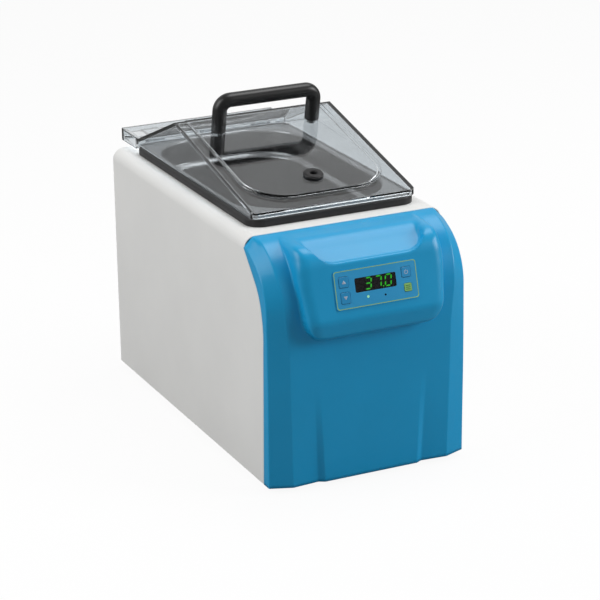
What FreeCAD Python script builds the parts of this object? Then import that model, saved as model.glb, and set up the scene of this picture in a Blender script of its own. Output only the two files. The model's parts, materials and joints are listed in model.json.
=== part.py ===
import math
import os

import FreeCAD
import Part

V = FreeCAD.Vector

# Digital water bath with a hinged clear lid.  Millimetres, +Z up, +X to the right of the
# front, -Y towards the front.  The origin is the middle of the plane the four feet rest on.

# ---- driving dimensions -------------------------------------------------------------------
FOOT_H = 5.0            # floor to the lower edge of the housing
BODY_W = 181.0          # over the painted side walls
BODY_H = 205.8          # lower edge of the housing to its top
BODY_L = 338.0          # flat panel of the front cover to the rear edge of the housing
EDGE_R = 10.4           # rounding of the long top edges
SHEET = 1.2             # steel sheet
COVER_WALL = 2.5        # moulded front cover
ARC_R = 55.0            # front cover bends from top to front
SEAM_GAP = 0.4          # cover to housing, all round
GAP = 0.3               # between pieces that move past one another
FIT = 0.05              # radial clearance of a pin in a hole

# ---- derived from the housing -------------------------------------------------------------
HALF_W = BODY_W / 2
BACK_Y = BODY_L / 2
FRONT_Y = -BODY_L / 2
TOP_Z = FOOT_H + BODY_H
UNDER_Z = TOP_Z - SHEET
ARC_Y = FRONT_Y + ARC_R
ARC_Z = TOP_Z - ARC_R
FLOOR_TOP = FOOT_H + SHEET
PLATE_TOP = FLOOR_TOP + SHEET
REAR_FACE = BACK_Y - 2.0
REAR_INNER = REAR_FACE - SHEET

# ---- front cover: (behind the front panel, above the top) unless it says otherwise ---------
COVER_TOP = (48.4, -10.2)       # rear edge of the cover on the top
SEAM = [(35.8, -24.0), (22.8, -39.8), (15.6, -60.3), (13.8, -75.4)]
SEAM_FOOT = 18.2                # seam behind the front panel at the lower edge
CORNER_BACK = 8.2               # cover corner behind the front panel, lower edge
RIDGE = (HALF_W - 25.3, FRONT_Y + 1.0)      # ridge of the cover at the lower edge
RIDGE_TOP_X = HALF_W - 15.0     # the same ridge where the bend starts
VALLEY = (HALF_W - 42.7, FRONT_Y + 2.8)
VALLEY_SHIFT = 8.0              # valley moves out up to the bend
PANEL_X = HALF_W - 49.9
PANEL_SHIFT = 6.0
CORNER_R = 2.5
COVER_POST_X = HALF_W - 20.5    # fixing posts inside the lower corners
COVER_POST_Y = FRONT_Y + 15.0
COVER_POST_R = 4.0
COVER_POST_H = 16.0
TONGUE_T = 2.3                  # tongue of the cover below the top sheet
TONGUE_L = 12.0

FACE_TILT = 15.2                # control face leans back
FACE_Y = FRONT_Y - 9.0          # middle of the control label
FACE_DROP = 37.4                # the same point below the top
FACE_Z = TOP_Z - FACE_DROP
POD_PROFILE = [(51.0, -0.4, 0.0), (0.5, -2.4, 20.0), (-15.5, -61.4, 6.0),
               (-11.6, -76.2, 5.0), (9.0, -83.8, 0.0), (51.0, -83.8, 0.0)]
POD_REAR = (FRONT_Y + 51.0, HALF_W - 26.0)      # y and half width where the sides start
POD_FRONT = (FRONT_Y - 23.0, HALF_W - 31.0)
POD_LOW = 82.2                  # lower side of the pod below the top
POD_CORNER_R = 15.0
POD_EDGE_R = 3.6
SCOOP_LIP = (-3.3, -17.1)       # front edge of the scoop: a ramp rises from it, then steepens
SCOOP_TILT = 24.6
SCOOP_PROFILE = [(-31.0, -29.8, 0.0), (18.8, -7.0, 14.0), (36.0, 10.2, 0.0), (-31.0, 10.2, 0.0)]
SCOOP_HALF = HALF_W - 38.1      # half width; the outline is a rounded rectangle on the ramp
SCOOP_CORNER_R = 22.0

# ---- control panel, in (u, v) on the leaning face -----------------------------------------
LABEL_W = 75.0
LABEL_H = 32.0
LABEL_T = 0.6
LABEL_R = 2.5
WINDOW = (-0.5, 2.15, 37.2, 11.7)       # centre u, centre v, width, height
WINDOW_T = 1.8
KEY_UP = (-28.8, 6.4, 8.6, 8.6)
KEY_DOWN = (-28.6, -6.5, 8.2, 9.2)
KEY_SET = (27.9, -6.2, 6.6, 6.6)
KEY_POWER = (27.5, 6.4, 8.2, 8.4)
KEY_PROUD = 0.35        # cap above the label
KEY_TRAVEL = 0.5
KEY_FLANGE = 0.9        # step of the flange behind the cover
KEY_FLANGE_T = 0.8
KEY_STEM = 2.8
KEY_R = 1.2
LED_HEAT = (-8.6, -8.2, 1.1)
LED_ALARM = (7.1, -9.0, 0.8)
BOARD_T = 1.6
BOARD_DEPTH = 11.4      # face to the front of the control board
BOARD_W = 88.0
BOARD_H = 38.0
POST_R = 3.2
POST_U = BOARD_W / 2 - 4.5
POST_V = BOARD_H / 2 - 5.0
DIGIT_PITCH = 9.1
DIGIT_FIRST = -14.9
DIGIT_H = 9.0
DIGIT_W = 5.2
SEGMENT = 1.05
DIGIT_LEAN = 7.0
DIGIT_T = 0.25
MODULE_TOP = 3.0        # face down to the front of the display block
SWITCH = 6.0            # side of a key switch
SWITCH_T = 3.4
SIGNAL_X = 22.0
SIGNAL_V = -10.5
SOCKET_T = 5.0

# ---- tank and gasket ----------------------------------------------------------------------
SIDE_ROOM = 24.0        # housing side to the tank opening
TANK_W = BODY_W - 2 * SIDE_ROOM
TANK_L = 233.0
TANK_BACK = 28.4        # rear edge of the housing to the tank opening
TANK_Y = BACK_Y - TANK_BACK - TANK_L / 2
TANK_R = 45.0
TANK_DEPTH = 130.0
TANK_T = 1.0
SHOULDER_DEPTH = 22.0   # ledge below the rim
SHOULDER_STEP = 3.5
SHOULDER_FALL = 3.0
FLOOR_R = 12.0          # rounding between tank wall and floor
RIM_H = 7.1             # tank flange above the housing
RIM_FLANGE = 6.3        # flange at the sides of the opening
RIM_FRONT = 8.7         # flange in front of the opening
RIM_REAR = 5.1          # flange behind the opening
FLANGE_W = TANK_W + 2 * RIM_FLANGE
FLANGE_L = TANK_L + RIM_FRONT + RIM_REAR
FLANGE_Y = TANK_Y - (RIM_FRONT - RIM_REAR) / 2
GASKET_EDGE = 4.0       # gasket outside the flange
GASKET_LIP = 0.1        # gasket above the flange
GASKET_W = FLANGE_W + 2 * GASKET_EDGE
GASKET_L = FLANGE_L + 2 * GASKET_EDGE
GASKET_R = 14.0
CUT_MARGIN = 2.2        # hole in the housing beyond the tank wall
RIM = TOP_Z + RIM_H
TANK_FLOOR = RIM - TANK_DEPTH
GASKET_Z = RIM + GASKET_LIP
CLAMP_W = 18.0
CLAMP_T = 1.5
CLAMP_L = SIDE_ROOM - EDGE_R - 1.6
CLAMP_Y = TANK_L / 2 - 61.5
JACKET_T = 9.0
HEATER_T = 1.5
HEATER_W = TANK_W - 37.0
HEATER_L = TANK_L - 37.0
HEATER_R = 20.0
PAD_T = 12.0
CUTOUT_X = 24.0
CUTOUT_Y = TANK_Y - 44.1
CUTOUT_R = 8.0
LEAD_Y = TANK_Y - 74.1
PROBE_UP = 42.1         # probe above the tank floor
PROBE_Z = TANK_FLOOR + PROBE_UP
PROBE_R = 2.5
PROBE_HALF = 16.0
CLIP_W = 10.0
SENSOR_X = 32.0
SENSOR_Z = FACE_Z - 13.4

# ---- lid, handle and hinge ----------------------------------------------------------------
LID_MARGIN = 2.4        # lid beyond the tank flange
LID_W = FLANGE_W + 2 * LID_MARGIN
LID_LOW = GASKET_Z + GAP
LID_FRONT_Y = FLANGE_Y - GASKET_L / 2 - 0.2
LID_FRONT_TOP = GASKET_Z + 5.3
RIDGE_Y = TANK_Y + 33.4
RIDGE_H = 37.4          # ridge above the front edge
RIDGE_Z = LID_FRONT_TOP + RIDGE_H
LID_REAR_Y = FLANGE_Y + FLANGE_L / 2 + 3.3
LID_WALL = 3.0
LID_CORNER_R = 6.0
REAR_SLOPE_Y = LID_REAR_Y - 5.3
STRIP_TOP = GASKET_Z + 6.8      # flat strip of the lid above the hinge
STRIP_T = 2.0
PIVOT_Y = BACK_Y + 7.5
PIVOT_Z = GASKET_Z
PIN_R = 1.5
KNUCKLE_R = 2.9
KNUCKLE_HALF = 8.0
SKIRT_Y = BACK_Y + 15.3
SKIRT_T = 2.4
SKIRT_LOW = STRIP_TOP - 11.5
HINGE_HALF = LID_W / 2 - 7.8
HINGE_ARM_X = HINGE_HALF - 16.0
HINGE_PLATE_T = 2.4
HINGE_FRONT_Y = LID_REAR_Y + 2.5
HINGE_BACK_Y = BACK_Y - 5.0
HINGE_HOLE_R = 2.1
HINGE_SCREW_X = HINGE_ARM_X - 24.0
PANEL_EDGE = 10.2       # lid side to the raised panel
PANEL_HALF = LID_W / 2 - PANEL_EDGE
PANEL_START = 16.5
PANEL_CORNER_R = 38.0
PANEL_RISE = (2.6, 0.3)
PORT_V = 43.9           # lid port up the slope
PORT_R = 5.4            # hole in the lid
GROMMET_R = 8.8
GROMMET_BORE = 3.0
GROMMET_LIP = 2.6
HANDLE_V = 141.2
HANDLE_SPAN = 89.1
HANDLE_RISE = 28.5
HANDLE_R = 6.2
HANDLE_BEND = 9.0
SLOPE = math.atan2(RIDGE_Z - LID_FRONT_TOP, RIDGE_Y - LID_FRONT_Y)
SLOPE_L = math.hypot(RIDGE_Z - LID_FRONT_TOP, RIDGE_Y - LID_FRONT_Y)

# ---- base, feet and rear panel ------------------------------------------------------------
LIP_IN = 12.0           # floor lips of the housing
PLATE_CUT = 14.0        # cut front corners of the base plate
UPTURN_H = 14.0
FOOT_X = HALF_W - 28.5
FOOT_YS = (FRONT_Y + 44.0, BACK_Y - 34.0)
FOOT_R = 9.0
REAR_SCREW_X = HALF_W - 16.5
REAR_SCREW_UP = 8.0
VENT_X = (18.0, HALF_W - 24.5)
VENT_H = 3.5
VENT_PITCH = 10.0
VENT_LOW = 36.0
INLET_X = 48.5 - HALF_W
INLET_Z = 44.0
INLET_W = 50.0
INLET_H = 44.0
INLET_L = 30.0
INLET_FLANGE_T = 3.0
INLET_SCREW_X = INLET_W / 2 - 5.0
RECESS_L = 17.0
DRAWER_W = 22.0
DRAWER_H = 9.0
DRAWER_L = 26.0
DRAWER_DROP = 15.0      # drawer centre below the inlet centre

# ---- power board: (x, y) from its middle --------------------------------------------------
POWER_W = 116.0
POWER_L = 88.0
POWER_Y = FRONT_Y + 63.0        # middle of the power board
STANDOFF_H = 9.0
STANDOFF_R = 3.0
STANDOFF_IN = 6.0
POWER_TOP = PLATE_TOP + STANDOFF_H + BOARD_T
HEADER_Y = POWER_Y - 38.0
HEADER_H = 8.0
HEADER_HALF = 6.0
CORE = (-26.0, -10.0, 40.0, 36.0, 28.0)     # middle x, middle y, width, length, height
CORE_UP = 3.0
BOBBIN_IN = 6.0
RELAY = (20.5, -23.5, 29.0, 13.0, 16.0)
SINK = (26.0, 1.5, 40.0, 15.0, 26.0)
FIN_T = 1.6
FINS = 6
SPINE_T = 3.0
TRIAC_W = 10.0
TRIAC_T = 4.5
TRIAC_H = 14.0
LEG_H = 8.0
TERMINAL = (-19.0, 28.0, 42.0, 12.0, 12.0)
PORT_W = 5.4
PORT_PITCH = 7.0
PORT_FIRST = -38.0
CAN_R = 5.0
CAN_H = 16.0
CANS = ((24.0, 26.0), (38.0, 26.0))
LEAD_UP = 5.0
PORT_FACE_Y = POWER_Y + TERMINAL[1] + 4.1
HEATER_PORTS = (-35.3, -28.3)
INLET_PORTS = (-21.3, -14.3)


# ---- small helpers ------------------------------------------------------------------------
def box(x0, x1, y0, y1, z0, z1):
    return Part.makeBox(x1 - x0, y1 - y0, z1 - z0, V(x0, y0, z0))


def rod(radius, start, end):
    along = end.sub(start)
    return Part.makeCylinder(radius, along.Length, start, along)


def fuse(shapes):
    whole = shapes[0]
    if len(shapes) > 1:
        whole = whole.multiFuse(shapes[1:])
    return whole.removeSplitter()


def cut(shape, tools):
    for tool in tools:
        shape = shape.cut(tool)
    return shape


def turn_sign(points):
    area = 0.0
    for i, (a, b) in enumerate(points):
        c, d = points[(i + 1) % len(points)]
        area += a * d - b * c
    return 1.0 if area > 0 else -1.0


def inset(corners, depth):
    """Move every side of a closed outline inwards by depth; corners are (a, b, radius)."""
    flat = [(a, b) for a, b, r in corners]
    sign = turn_sign(flat)
    count = len(corners)
    lines = []
    for i in range(count):
        a0, b0 = flat[i]
        a1, b1 = flat[(i + 1) % count]
        length = math.hypot(a1 - a0, b1 - b0)
        na = -(b1 - b0) / length * sign
        nb = (a1 - a0) / length * sign
        lines.append((a0 + na * depth, b0 + nb * depth, a1 - a0, b1 - b0))
    result = []
    for i in range(count):
        p0, q0, da, db = lines[i - 1]
        p1, q1, ea, eb = lines[i]
        cross = da * eb - db * ea
        t = ((p1 - p0) * eb - (q1 - q0) * ea) / cross
        radius = corners[i][2]
        if radius > 0:
            radius = max(radius - depth * (1 if cross * sign > 0 else -1), 0.05)
        result.append((p0 + da * t, q0 + db * t, radius))
    return result


def outline(corners, place):
    """Closed wire of straight sides and rounded corners; place turns (a, b) into a point."""
    count = len(corners)
    ends = []
    for i in range(count):
        a, b, radius = corners[i]
        a0, b0 = corners[i - 1][:2]
        a1, b1 = corners[(i + 1) % count][:2]
        if radius <= 0:
            ends.append(((a, b), None, (a, b)))
            continue
        l0 = math.hypot(a0 - a, b0 - b)
        l1 = math.hypot(a1 - a, b1 - b)
        u0 = ((a0 - a) / l0, (b0 - b) / l0)
        u1 = ((a1 - a) / l1, (b1 - b) / l1)
        half = math.acos(max(-1.0, min(1.0, u0[0] * u1[0] + u0[1] * u1[1]))) / 2
        back = radius / math.tan(half)
        away = radius / math.sin(half)
        mid = (u0[0] + u1[0], u0[1] + u1[1])
        size = math.hypot(mid[0], mid[1])
        mid = (mid[0] / size, mid[1] / size)
        crown = (a + mid[0] * (away - radius), b + mid[1] * (away - radius))
        ends.append(((a + u0[0] * back, b + u0[1] * back), crown,
                     (a + u1[0] * back, b + u1[1] * back)))
    edges = []
    for i in range(count):
        first, crown, last = ends[i]
        if crown is not None:
            edges.append(Part.Arc(place(*first), place(*crown), place(*last)).toShape())
        following = ends[(i + 1) % count][0]
        if math.hypot(following[0] - last[0], following[1] - last[1]) > 1e-6:
            edges.append(Part.LineSegment(place(*last), place(*following)).toShape())
    return Part.Wire(edges)


def prism_x(corners, x0, x1):
    wire = outline(corners, lambda a, b: V(x0, a, b))
    return Part.Face(wire).extrude(V(x1 - x0, 0, 0))


def prism_y(corners, y0, y1):
    wire = outline(corners, lambda a, b: V(a, y0, b))
    return Part.Face(wire).extrude(V(0, y1 - y0, 0))


def prism_z(corners, z0, z1):
    wire = outline(corners, lambda a, b: V(a, b, z0))
    return Part.Face(wire).extrude(V(0, 0, z1 - z0))


def rectangle(cx, cy, width, height, radius):
    x0, x1 = cx - width / 2, cx + width / 2
    y0, y1 = cy - height / 2, cy + height / 2
    return [(x0, y0, radius), (x1, y0, radius), (x1, y1, radius), (x0, y1, radius)]


def plain(points):
    return [(a, b, 0.0) for a, b in points]


def from_top(corners):
    """Corners given behind the front panel and above the top, as places."""
    return [(FRONT_Y + a, TOP_Z + b, r) for a, b, r in corners]


def on_face(shape):
    """Stand a piece drawn flat (u, v, depth) on the leaning control face."""
    shape.rotate(V(0, 0, 0), V(1, 0, 0), 90.0 - FACE_TILT)
    shape.translate(V(0, FACE_Y, FACE_Z))
    return shape


def on_slope(shape):
    """Lay a piece drawn flat (x, up the slope, height) on the front slope of the lid."""
    shape.rotate(V(0, 0, 0), V(1, 0, 0), math.degrees(SLOPE))
    shape.translate(V(0, LID_FRONT_Y, LID_FRONT_TOP))
    return shape


def panel_height(v):
    high, low = PANEL_RISE
    return high + (low - high) * v / SLOPE_L


def on_panel(shape, v):
    """The same for a piece that stands square on the raised panel at v, which leans a little."""
    lean = math.atan2(PANEL_RISE[1] - PANEL_RISE[0], SLOPE_L)
    shape.rotate(V(0, v, panel_height(v)), V(1, 0, 0), math.degrees(lean))
    return on_slope(shape)


def screw(point, direction, length, radius=1.5):
    """Pan-head screw: point is the underside of the head, direction runs into the work."""
    unit = V(direction)
    unit.normalize()
    head = Part.makeCylinder(radius * 1.9, radius * 1.2, point.sub(unit * (radius * 1.2)), unit)
    recess = Part.makeCylinder(radius * 0.7, radius * 0.7, point.sub(unit * (radius * 1.2)), unit)
    shank = Part.makeCylinder(radius, length, point, unit)
    return fuse([head.cut(recess), shank])


def pipe(points, radius):
    """Round lead through the points with eased corners."""
    bend = radius * 3.0
    edges = []
    start = points[0]
    for i in range(1, len(points) - 1):
        here = points[i]
        back = points[i - 1].sub(here)
        ahead = points[i + 1].sub(here)
        back.normalize()
        ahead.normalize()
        p = here.add(back * bend)
        q = here.add(ahead * bend)
        centre_way = back.add(ahead)
        centre_way.normalize()
        half = back.getAngle(ahead) / 2
        crown = here.add(centre_way * (bend * (1 - math.sin(half)) / math.cos(half)))
        edges.append(Part.LineSegment(start, p).toShape())
        edges.append(Part.Arc(p, crown, q).toShape())
        start = q
    edges.append(Part.LineSegment(start, points[-1]).toShape())
    path = Part.Wire(edges)
    way = points[1].sub(points[0])
    ring = Part.Wire([Part.Circle(points[0], way, radius).toShape()])
    return path.makePipeShell([ring], True, False)


# ---- housing ------------------------------------------------------------------------------
def seam_region(shift):
    """Everything in front of the seam between housing and cover, as seen from the side."""
    curve = Part.BSplineCurve()
    knots = [V(0, FRONT_Y + y + shift, TOP_Z + z) for y, z in [COVER_TOP] + SEAM]
    top = knots[0]
    curve.interpolate(knots)
    foot = V(0, FRONT_Y + SEAM_FOOT + shift, FOOT_H)
    far = FRONT_Y - 60.0
    rest = [knots[-1], foot, foot.add(V(0, 0, -20)), V(0, far, FOOT_H - 20.0),
            V(0, far, TOP_Z + 20.0), V(0, top.y, TOP_Z + 20.0), top]
    edges = [curve.toShape()]
    for a, b in zip(rest, rest[1:]):
        edges.append(Part.LineSegment(a, b).toShape())
    region = Part.Face(Part.Wire(edges)).extrude(V(BODY_W + 40.0, 0, 0))
    region.translate(V(-HALF_W - 20.0, 0, 0))
    return region


def housing_section(depth):
    half = HALF_W - depth
    low = FOOT_H if depth == 0 else FOOT_H + SHEET
    return [(-half, low, 0.0), (half, low, 0.0),
            (half, TOP_Z - depth, EDGE_R - depth), (-half, TOP_Z - depth, EDGE_R - depth)]


def tank_outline(grow):
    return rectangle(0, TANK_Y, TANK_W + 2 * grow, TANK_L + 2 * grow, TANK_R + grow)


def hinge_screw_points():
    y = (HINGE_FRONT_Y + HINGE_BACK_Y) / 2
    return [V(x, y, TOP_Z + HINGE_PLATE_T) for x in (-HINGE_SCREW_X, HINGE_SCREW_X)]


def outer_housing():
    wrap = prism_y(housing_section(0), FRONT_Y, BACK_Y)
    wrap = wrap.cut(prism_y(housing_section(SHEET), FRONT_Y - 1, BACK_Y + 1))
    lip = HALF_W - LIP_IN
    wrap = wrap.cut(box(-lip, lip, FRONT_Y - 1, BACK_Y + 1, FOOT_H - 1, PLATE_TOP))
    wrap = wrap.cut(seam_region(SEAM_GAP))
    opening = prism_z(tank_outline(TANK_T + CUT_MARGIN), UNDER_Z - 2, TOP_Z + 2)
    holes = [rod(HINGE_HOLE_R, p.add(V(0, 0, -8)), p) for p in hinge_screw_points()]
    return cut(wrap, [opening] + holes)


def base_plate():
    half = HALF_W - SHEET
    front = FRONT_Y + COVER_WALL + 7.0
    side = FRONT_Y + SEAM_FOOT + 4.0
    flat = prism_z([(-half, side, 0.0), (-half + PLATE_CUT, front, 0.0),
                    (half - PLATE_CUT, front, 0.0), (half, side, 0.0),
                    (half, REAR_INNER, 0.0), (-half, REAR_INNER, 0.0)], FLOOR_TOP, PLATE_TOP)
    upturn = box(-half + 6, half - 6, REAR_INNER - SHEET, REAR_INNER, FLOOR_TOP,
                 PLATE_TOP + UPTURN_H)
    holes = [rod(2.2, V(x, y, FOOT_H - 1), V(x, y, PLATE_TOP + 1))
             for x in (-FOOT_X, FOOT_X) for y in FOOT_YS]
    holes += [rod(1.7, V(x, COVER_POST_Y, FOOT_H - 1), V(x, COVER_POST_Y, PLATE_TOP + 1))
              for x in (-COVER_POST_X, COVER_POST_X)]
    slots = [box(x - 2, x + 2, TANK_Y - 4, TANK_Y + 66, FLOOR_TOP - 1, PLATE_TOP + 1)
             for x in (-40, -28, -16, 16, 28, 40)]
    z = PLATE_TOP + REAR_SCREW_UP
    back = [rod(1.5, V(x, REAR_INNER - 3, z), V(x, REAR_INNER + 1, z))
            for x in (-REAR_SCREW_X, REAR_SCREW_X)]
    return cut(fuse([flat, upturn]), holes + slots + back)


def rear_panel():
    half = HALF_W - SHEET
    corners = [(-half, PLATE_TOP - SHEET, 0.0), (half, PLATE_TOP - SHEET, 0.0),
               (half, UNDER_Z, EDGE_R - SHEET), (-half, UNDER_Z, EDGE_R - SHEET)]
    panel = prism_y(corners, REAR_INNER, REAR_FACE)
    top_flange = box(-half + 12, half - 12, REAR_INNER - 10, REAR_FACE, UNDER_Z - SHEET, UNDER_Z)
    inlet = box(INLET_X - INLET_W / 2 + 8, INLET_X + INLET_W / 2 - 8, REAR_INNER - 1,
                REAR_FACE + 1, INLET_Z - INLET_H / 2 + 2, INLET_Z + INLET_H / 2 - 6)
    slots = [box(VENT_X[0], VENT_X[1], REAR_INNER - 1, REAR_FACE + 1,
                 VENT_LOW + i * VENT_PITCH, VENT_LOW + i * VENT_PITCH + VENT_H) for i in range(6)]
    z = PLATE_TOP + REAR_SCREW_UP
    screws = [rod(1.6, V(x, REAR_INNER - 1, z), V(x, REAR_FACE + 1, z))
              for x in (-REAR_SCREW_X, REAR_SCREW_X)]
    screws += [rod(1.7, V(INLET_X + s * INLET_SCREW_X, REAR_INNER - 1, INLET_Z - 3),
                   V(INLET_X + s * INLET_SCREW_X, REAR_FACE + 1, INLET_Z - 3)) for s in (-1, 1)]
    hinge = [rod(HINGE_HOLE_R, p.add(V(0, 0, -8)), p) for p in hinge_screw_points()]
    return cut(fuse([panel, top_flange]), [inlet] + slots + screws + hinge)


# ---- front cover --------------------------------------------------------------------------
def cover_plan(half, front, corner_r, ridge, valley, panel_x, corner_y):
    """Half of the cover's plan from the side wall to the middle, mirrored and closed."""
    left = [(-half, corner_y, corner_r), (-ridge[0], ridge[1], 0.0),
            (-valley[0], valley[1], 0.0), (-panel_x, front, 0.0)]
    right = [(-a, b, r) for a, b, r in reversed(left)]
    return [(-half, ARC_Y, 0.0)] + left + right + [(half, ARC_Y, 0.0)]


def cover_lower(depth):
    low = FOOT_H - (1.0 if depth else 0.0)
    half = HALF_W - depth
    foot = cover_plan(half, FRONT_Y + depth, max(CORNER_R - depth, 0.4),
                      (RIDGE[0], RIDGE[1] + depth), (VALLEY[0], VALLEY[1] + depth),
                      PANEL_X, FRONT_Y + CORNER_BACK + depth)
    head_y = FRONT_Y + depth
    head = cover_plan(half, head_y, EDGE_R - depth, (RIDGE_TOP_X, head_y + 0.02),
                      (VALLEY[0] + VALLEY_SHIFT, head_y + 0.04), PANEL_X + PANEL_SHIFT,
                      head_y + 0.02)
    wires = [outline(foot, lambda a, b: V(a, b, low)),
             outline(head, lambda a, b: V(a, b, ARC_Z))]
    return Part.makeLoft(wires, True, True)


def cover_bend(depth):
    """The bend: the rounded cross-section swung a quarter turn about the bend axis."""
    half = HALF_W - depth
    r = ARC_R - depth
    corners = [(-half, 0.0, 0.0), (half, 0.0, 0.0), (half, r, EDGE_R - depth),
               (-half, r, EDGE_R - depth)]
    wire = outline(corners, lambda a, b: V(a, ARC_Y - b, ARC_Z))
    bend = Part.Face(wire).revolve(V(0, ARC_Y, ARC_Z), V(1, 0, 0), -90.0)
    wire = outline(corners, lambda a, b: V(a, ARC_Y, ARC_Z + b))
    behind = Part.Face(wire).extrude(V(0, 60.0, 0))
    return [bend, behind]


def pod(depth):
    block = prism_x(from_top(inset(POD_PROFILE, depth)), -HALF_W, HALF_W)
    wires = []
    for y, half in (POD_REAR, POD_FRONT):
        low = TOP_Z - POD_LOW + depth
        side = half - depth
        corners = [(-side, low, POD_CORNER_R - depth), (side, low, POD_CORNER_R - depth),
                   (side, TOP_Z + 40, 0.0), (-side, TOP_Z + 40, 0.0)]
        wires.append(outline(corners, lambda a, b, y=y: V(a, y, b)))
    shape = block.common(Part.makeLoft(wires, True, True))
    rims = [e for e in shape.Edges if e.CenterOfMass.y < FRONT_Y + 39.0
            and abs(e.CenterOfMass.x) > HALF_W - 60.5
            and e.BoundBox.XLength < 40.0]
    return shape.makeFillet(POD_EDGE_R - depth, rims)


def scoop(grow):
    """Finger scoop: the ramp's side view, kept inside a rounded outline square to the ramp."""
    profile = from_top(SCOOP_PROFILE)
    if grow:
        profile = inset(profile, -grow)
    pocket = prism_z(rectangle(0, 35.0, 2 * (SCOOP_HALF + grow), 70.0 + 2 * grow,
                               SCOOP_CORNER_R + grow), -50.0, 50.0)
    pocket.rotate(V(0, 0, 0), V(1, 0, 0), SCOOP_TILT)
    pocket.translate(V(0, FRONT_Y + SCOOP_LIP[0], TOP_Z + SCOOP_LIP[1]))
    return prism_x(profile, -HALF_W, HALF_W).common(pocket)


def cover_body(depth):
    shapes = [cover_lower(depth)] + cover_bend(depth)
    return shapes[0].multiFuse(shapes[1:])


def face_hole(spec, margin, depth):
    u, v, width, height = spec
    hole = prism_z(rectangle(u, v, width + 2 * margin, height + 2 * margin, KEY_R + margin),
                   -depth, 6.0)
    return on_face(hole)


def face_round(u, v, radius, low, high):
    return on_face(rod(radius, V(u, v, low), V(u, v, high)))


def front_cover():
    outside = cover_body(0.0).fuse(pod(0.0)).cut(scoop(0.0))
    hollow = cover_body(COVER_WALL).fuse(pod(COVER_WALL)).cut(scoop(COVER_WALL))
    shell = outside.cut(hollow).common(seam_region(0.0))
    posts = [face_round(u, v, POST_R, -BOARD_DEPTH, -COVER_WALL + 0.5)
             for u in (-POST_U, POST_U) for v in (-POST_V, POST_V)]
    foot_posts = [box(s * COVER_POST_X - COVER_POST_R, s * COVER_POST_X + COVER_POST_R,
                      FRONT_Y + COVER_WALL - 0.2 + 1.0, COVER_POST_Y + COVER_POST_R,
                      PLATE_TOP, PLATE_TOP + COVER_POST_H) for s in (-1, 1)]
    rear = FRONT_Y + COVER_TOP[0]
    tongue = box(-HALF_W + 16, HALF_W - 16, rear - 4.0, rear + TONGUE_L,
                 UNDER_Z - GAP - TONGUE_T, UNDER_Z - GAP)
    shell = fuse([shell] + posts + foot_posts + [tongue])
    tools = [face_hole(k, GAP, 9.0) for k in (KEY_UP, KEY_DOWN, KEY_SET, KEY_POWER)]
    tools.append(face_hole(WINDOW, 0.0, 9.0))
    for u, v, radius in (LED_HEAT, LED_ALARM):
        tools.append(face_round(u, v, radius, -9.0, 6.0))
    for u in (-POST_U, POST_U):
        for v in (-POST_V, POST_V):
            tools.append(face_round(u, v, 1.2, -BOARD_DEPTH - 1, -COVER_WALL - 1))
    for s in (-1, 1):
        x = s * COVER_POST_X
        tools.append(rod(1.5, V(x, COVER_POST_Y, PLATE_TOP - 1),
                         V(x, COVER_POST_Y, PLATE_TOP + 12)))
    return cut(shell, tools)


# ---- control panel ------------------------------------------------------------------------
def control_label():
    label = prism_z(rectangle(0, 0, LABEL_W, LABEL_H, LABEL_R), 0, LABEL_T)
    label = on_face(label)
    tools = [face_hole(k, GAP, 1.0) for k in (KEY_UP, KEY_DOWN, KEY_SET, KEY_POWER)]
    tools.append(face_hole(WINDOW, 0.0, 1.0))
    for u, v, radius in (LED_HEAT, LED_ALARM):
        tools.append(face_round(u, v, radius, -1.0, 3.0))
    return cut(label, tools)


def key(spec):
    u, v, width, height = spec
    top = LABEL_T + KEY_PROUD
    flange_top = -COVER_WALL - GAP
    cap = prism_z(rectangle(u, v, width, height, KEY_R), flange_top, top)
    flange = prism_z(rectangle(u, v, width + 2 * KEY_FLANGE, height + 2 * KEY_FLANGE, KEY_R),
                     flange_top - KEY_FLANGE_T, flange_top)
    stem = rod(1.5, V(u, v, flange_top - KEY_STEM), V(u, v, flange_top))
    return on_face(fuse([cap, flange, stem]))


def display_window():
    u, v, width, height = WINDOW
    return on_face(prism_z(rectangle(u, v, width, height, KEY_R), LABEL_T - WINDOW_T, LABEL_T))


def segment(points, low, high):
    return prism_z(plain(points), low, high)


def digit_segments(u, name):
    """Bars of one seven-segment figure, leaning to the right."""
    h, w, s = DIGIT_H / 2, DIGIT_W / 2, SEGMENT / 2
    ends = {"a": ((-w, h), (w, h)), "b": ((w, h), (w, 0)), "c": ((w, 0), (w, -h)),
            "d": ((-w, -h), (w, -h)), "e": ((-w, 0), (-w, -h)), "f": ((-w, h), (-w, 0)),
            "g": ((-w, 0), (w, 0))}
    lean = math.tan(math.radians(DIGIT_LEAN))
    bars = []
    for bar in name:
        (a0, b0), (a1, b1) = ends[bar]
        length = math.hypot(a1 - a0, b1 - b0)
        du, dv = (a1 - a0) / length, (b1 - b0) / length
        inner = s * 1.15
        points = []
        for along, side in ((inner, 0), (inner + s, s), (length - inner - s, s),
                            (length - inner, 0), (length - inner - s, -s), (inner + s, -s)):
            a = a0 + du * along - dv * side
            b = b0 + dv * along + du * side
            points.append((u + a + b * lean, WINDOW[1] + b))
        bars.append(segment(points, -MODULE_TOP, -MODULE_TOP + DIGIT_T))
    return bars


def display_digits():
    figures = ("abcdg", "abc", "abcdef")
    bars = []
    for place, figure in enumerate(figures):
        bars += digit_segments(DIGIT_FIRST + DIGIT_PITCH * (place + 1), figure)
    point_u = DIGIT_FIRST + DIGIT_PITCH * 2.5 - 0.3
    point_v = WINDOW[1] - DIGIT_H / 2 + 0.3
    bars.append(rod(SEGMENT / 2, V(point_u, point_v, -MODULE_TOP),
                    V(point_u, point_v, -MODULE_TOP + DIGIT_T)))
    return on_face(Part.makeCompound(bars))


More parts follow.
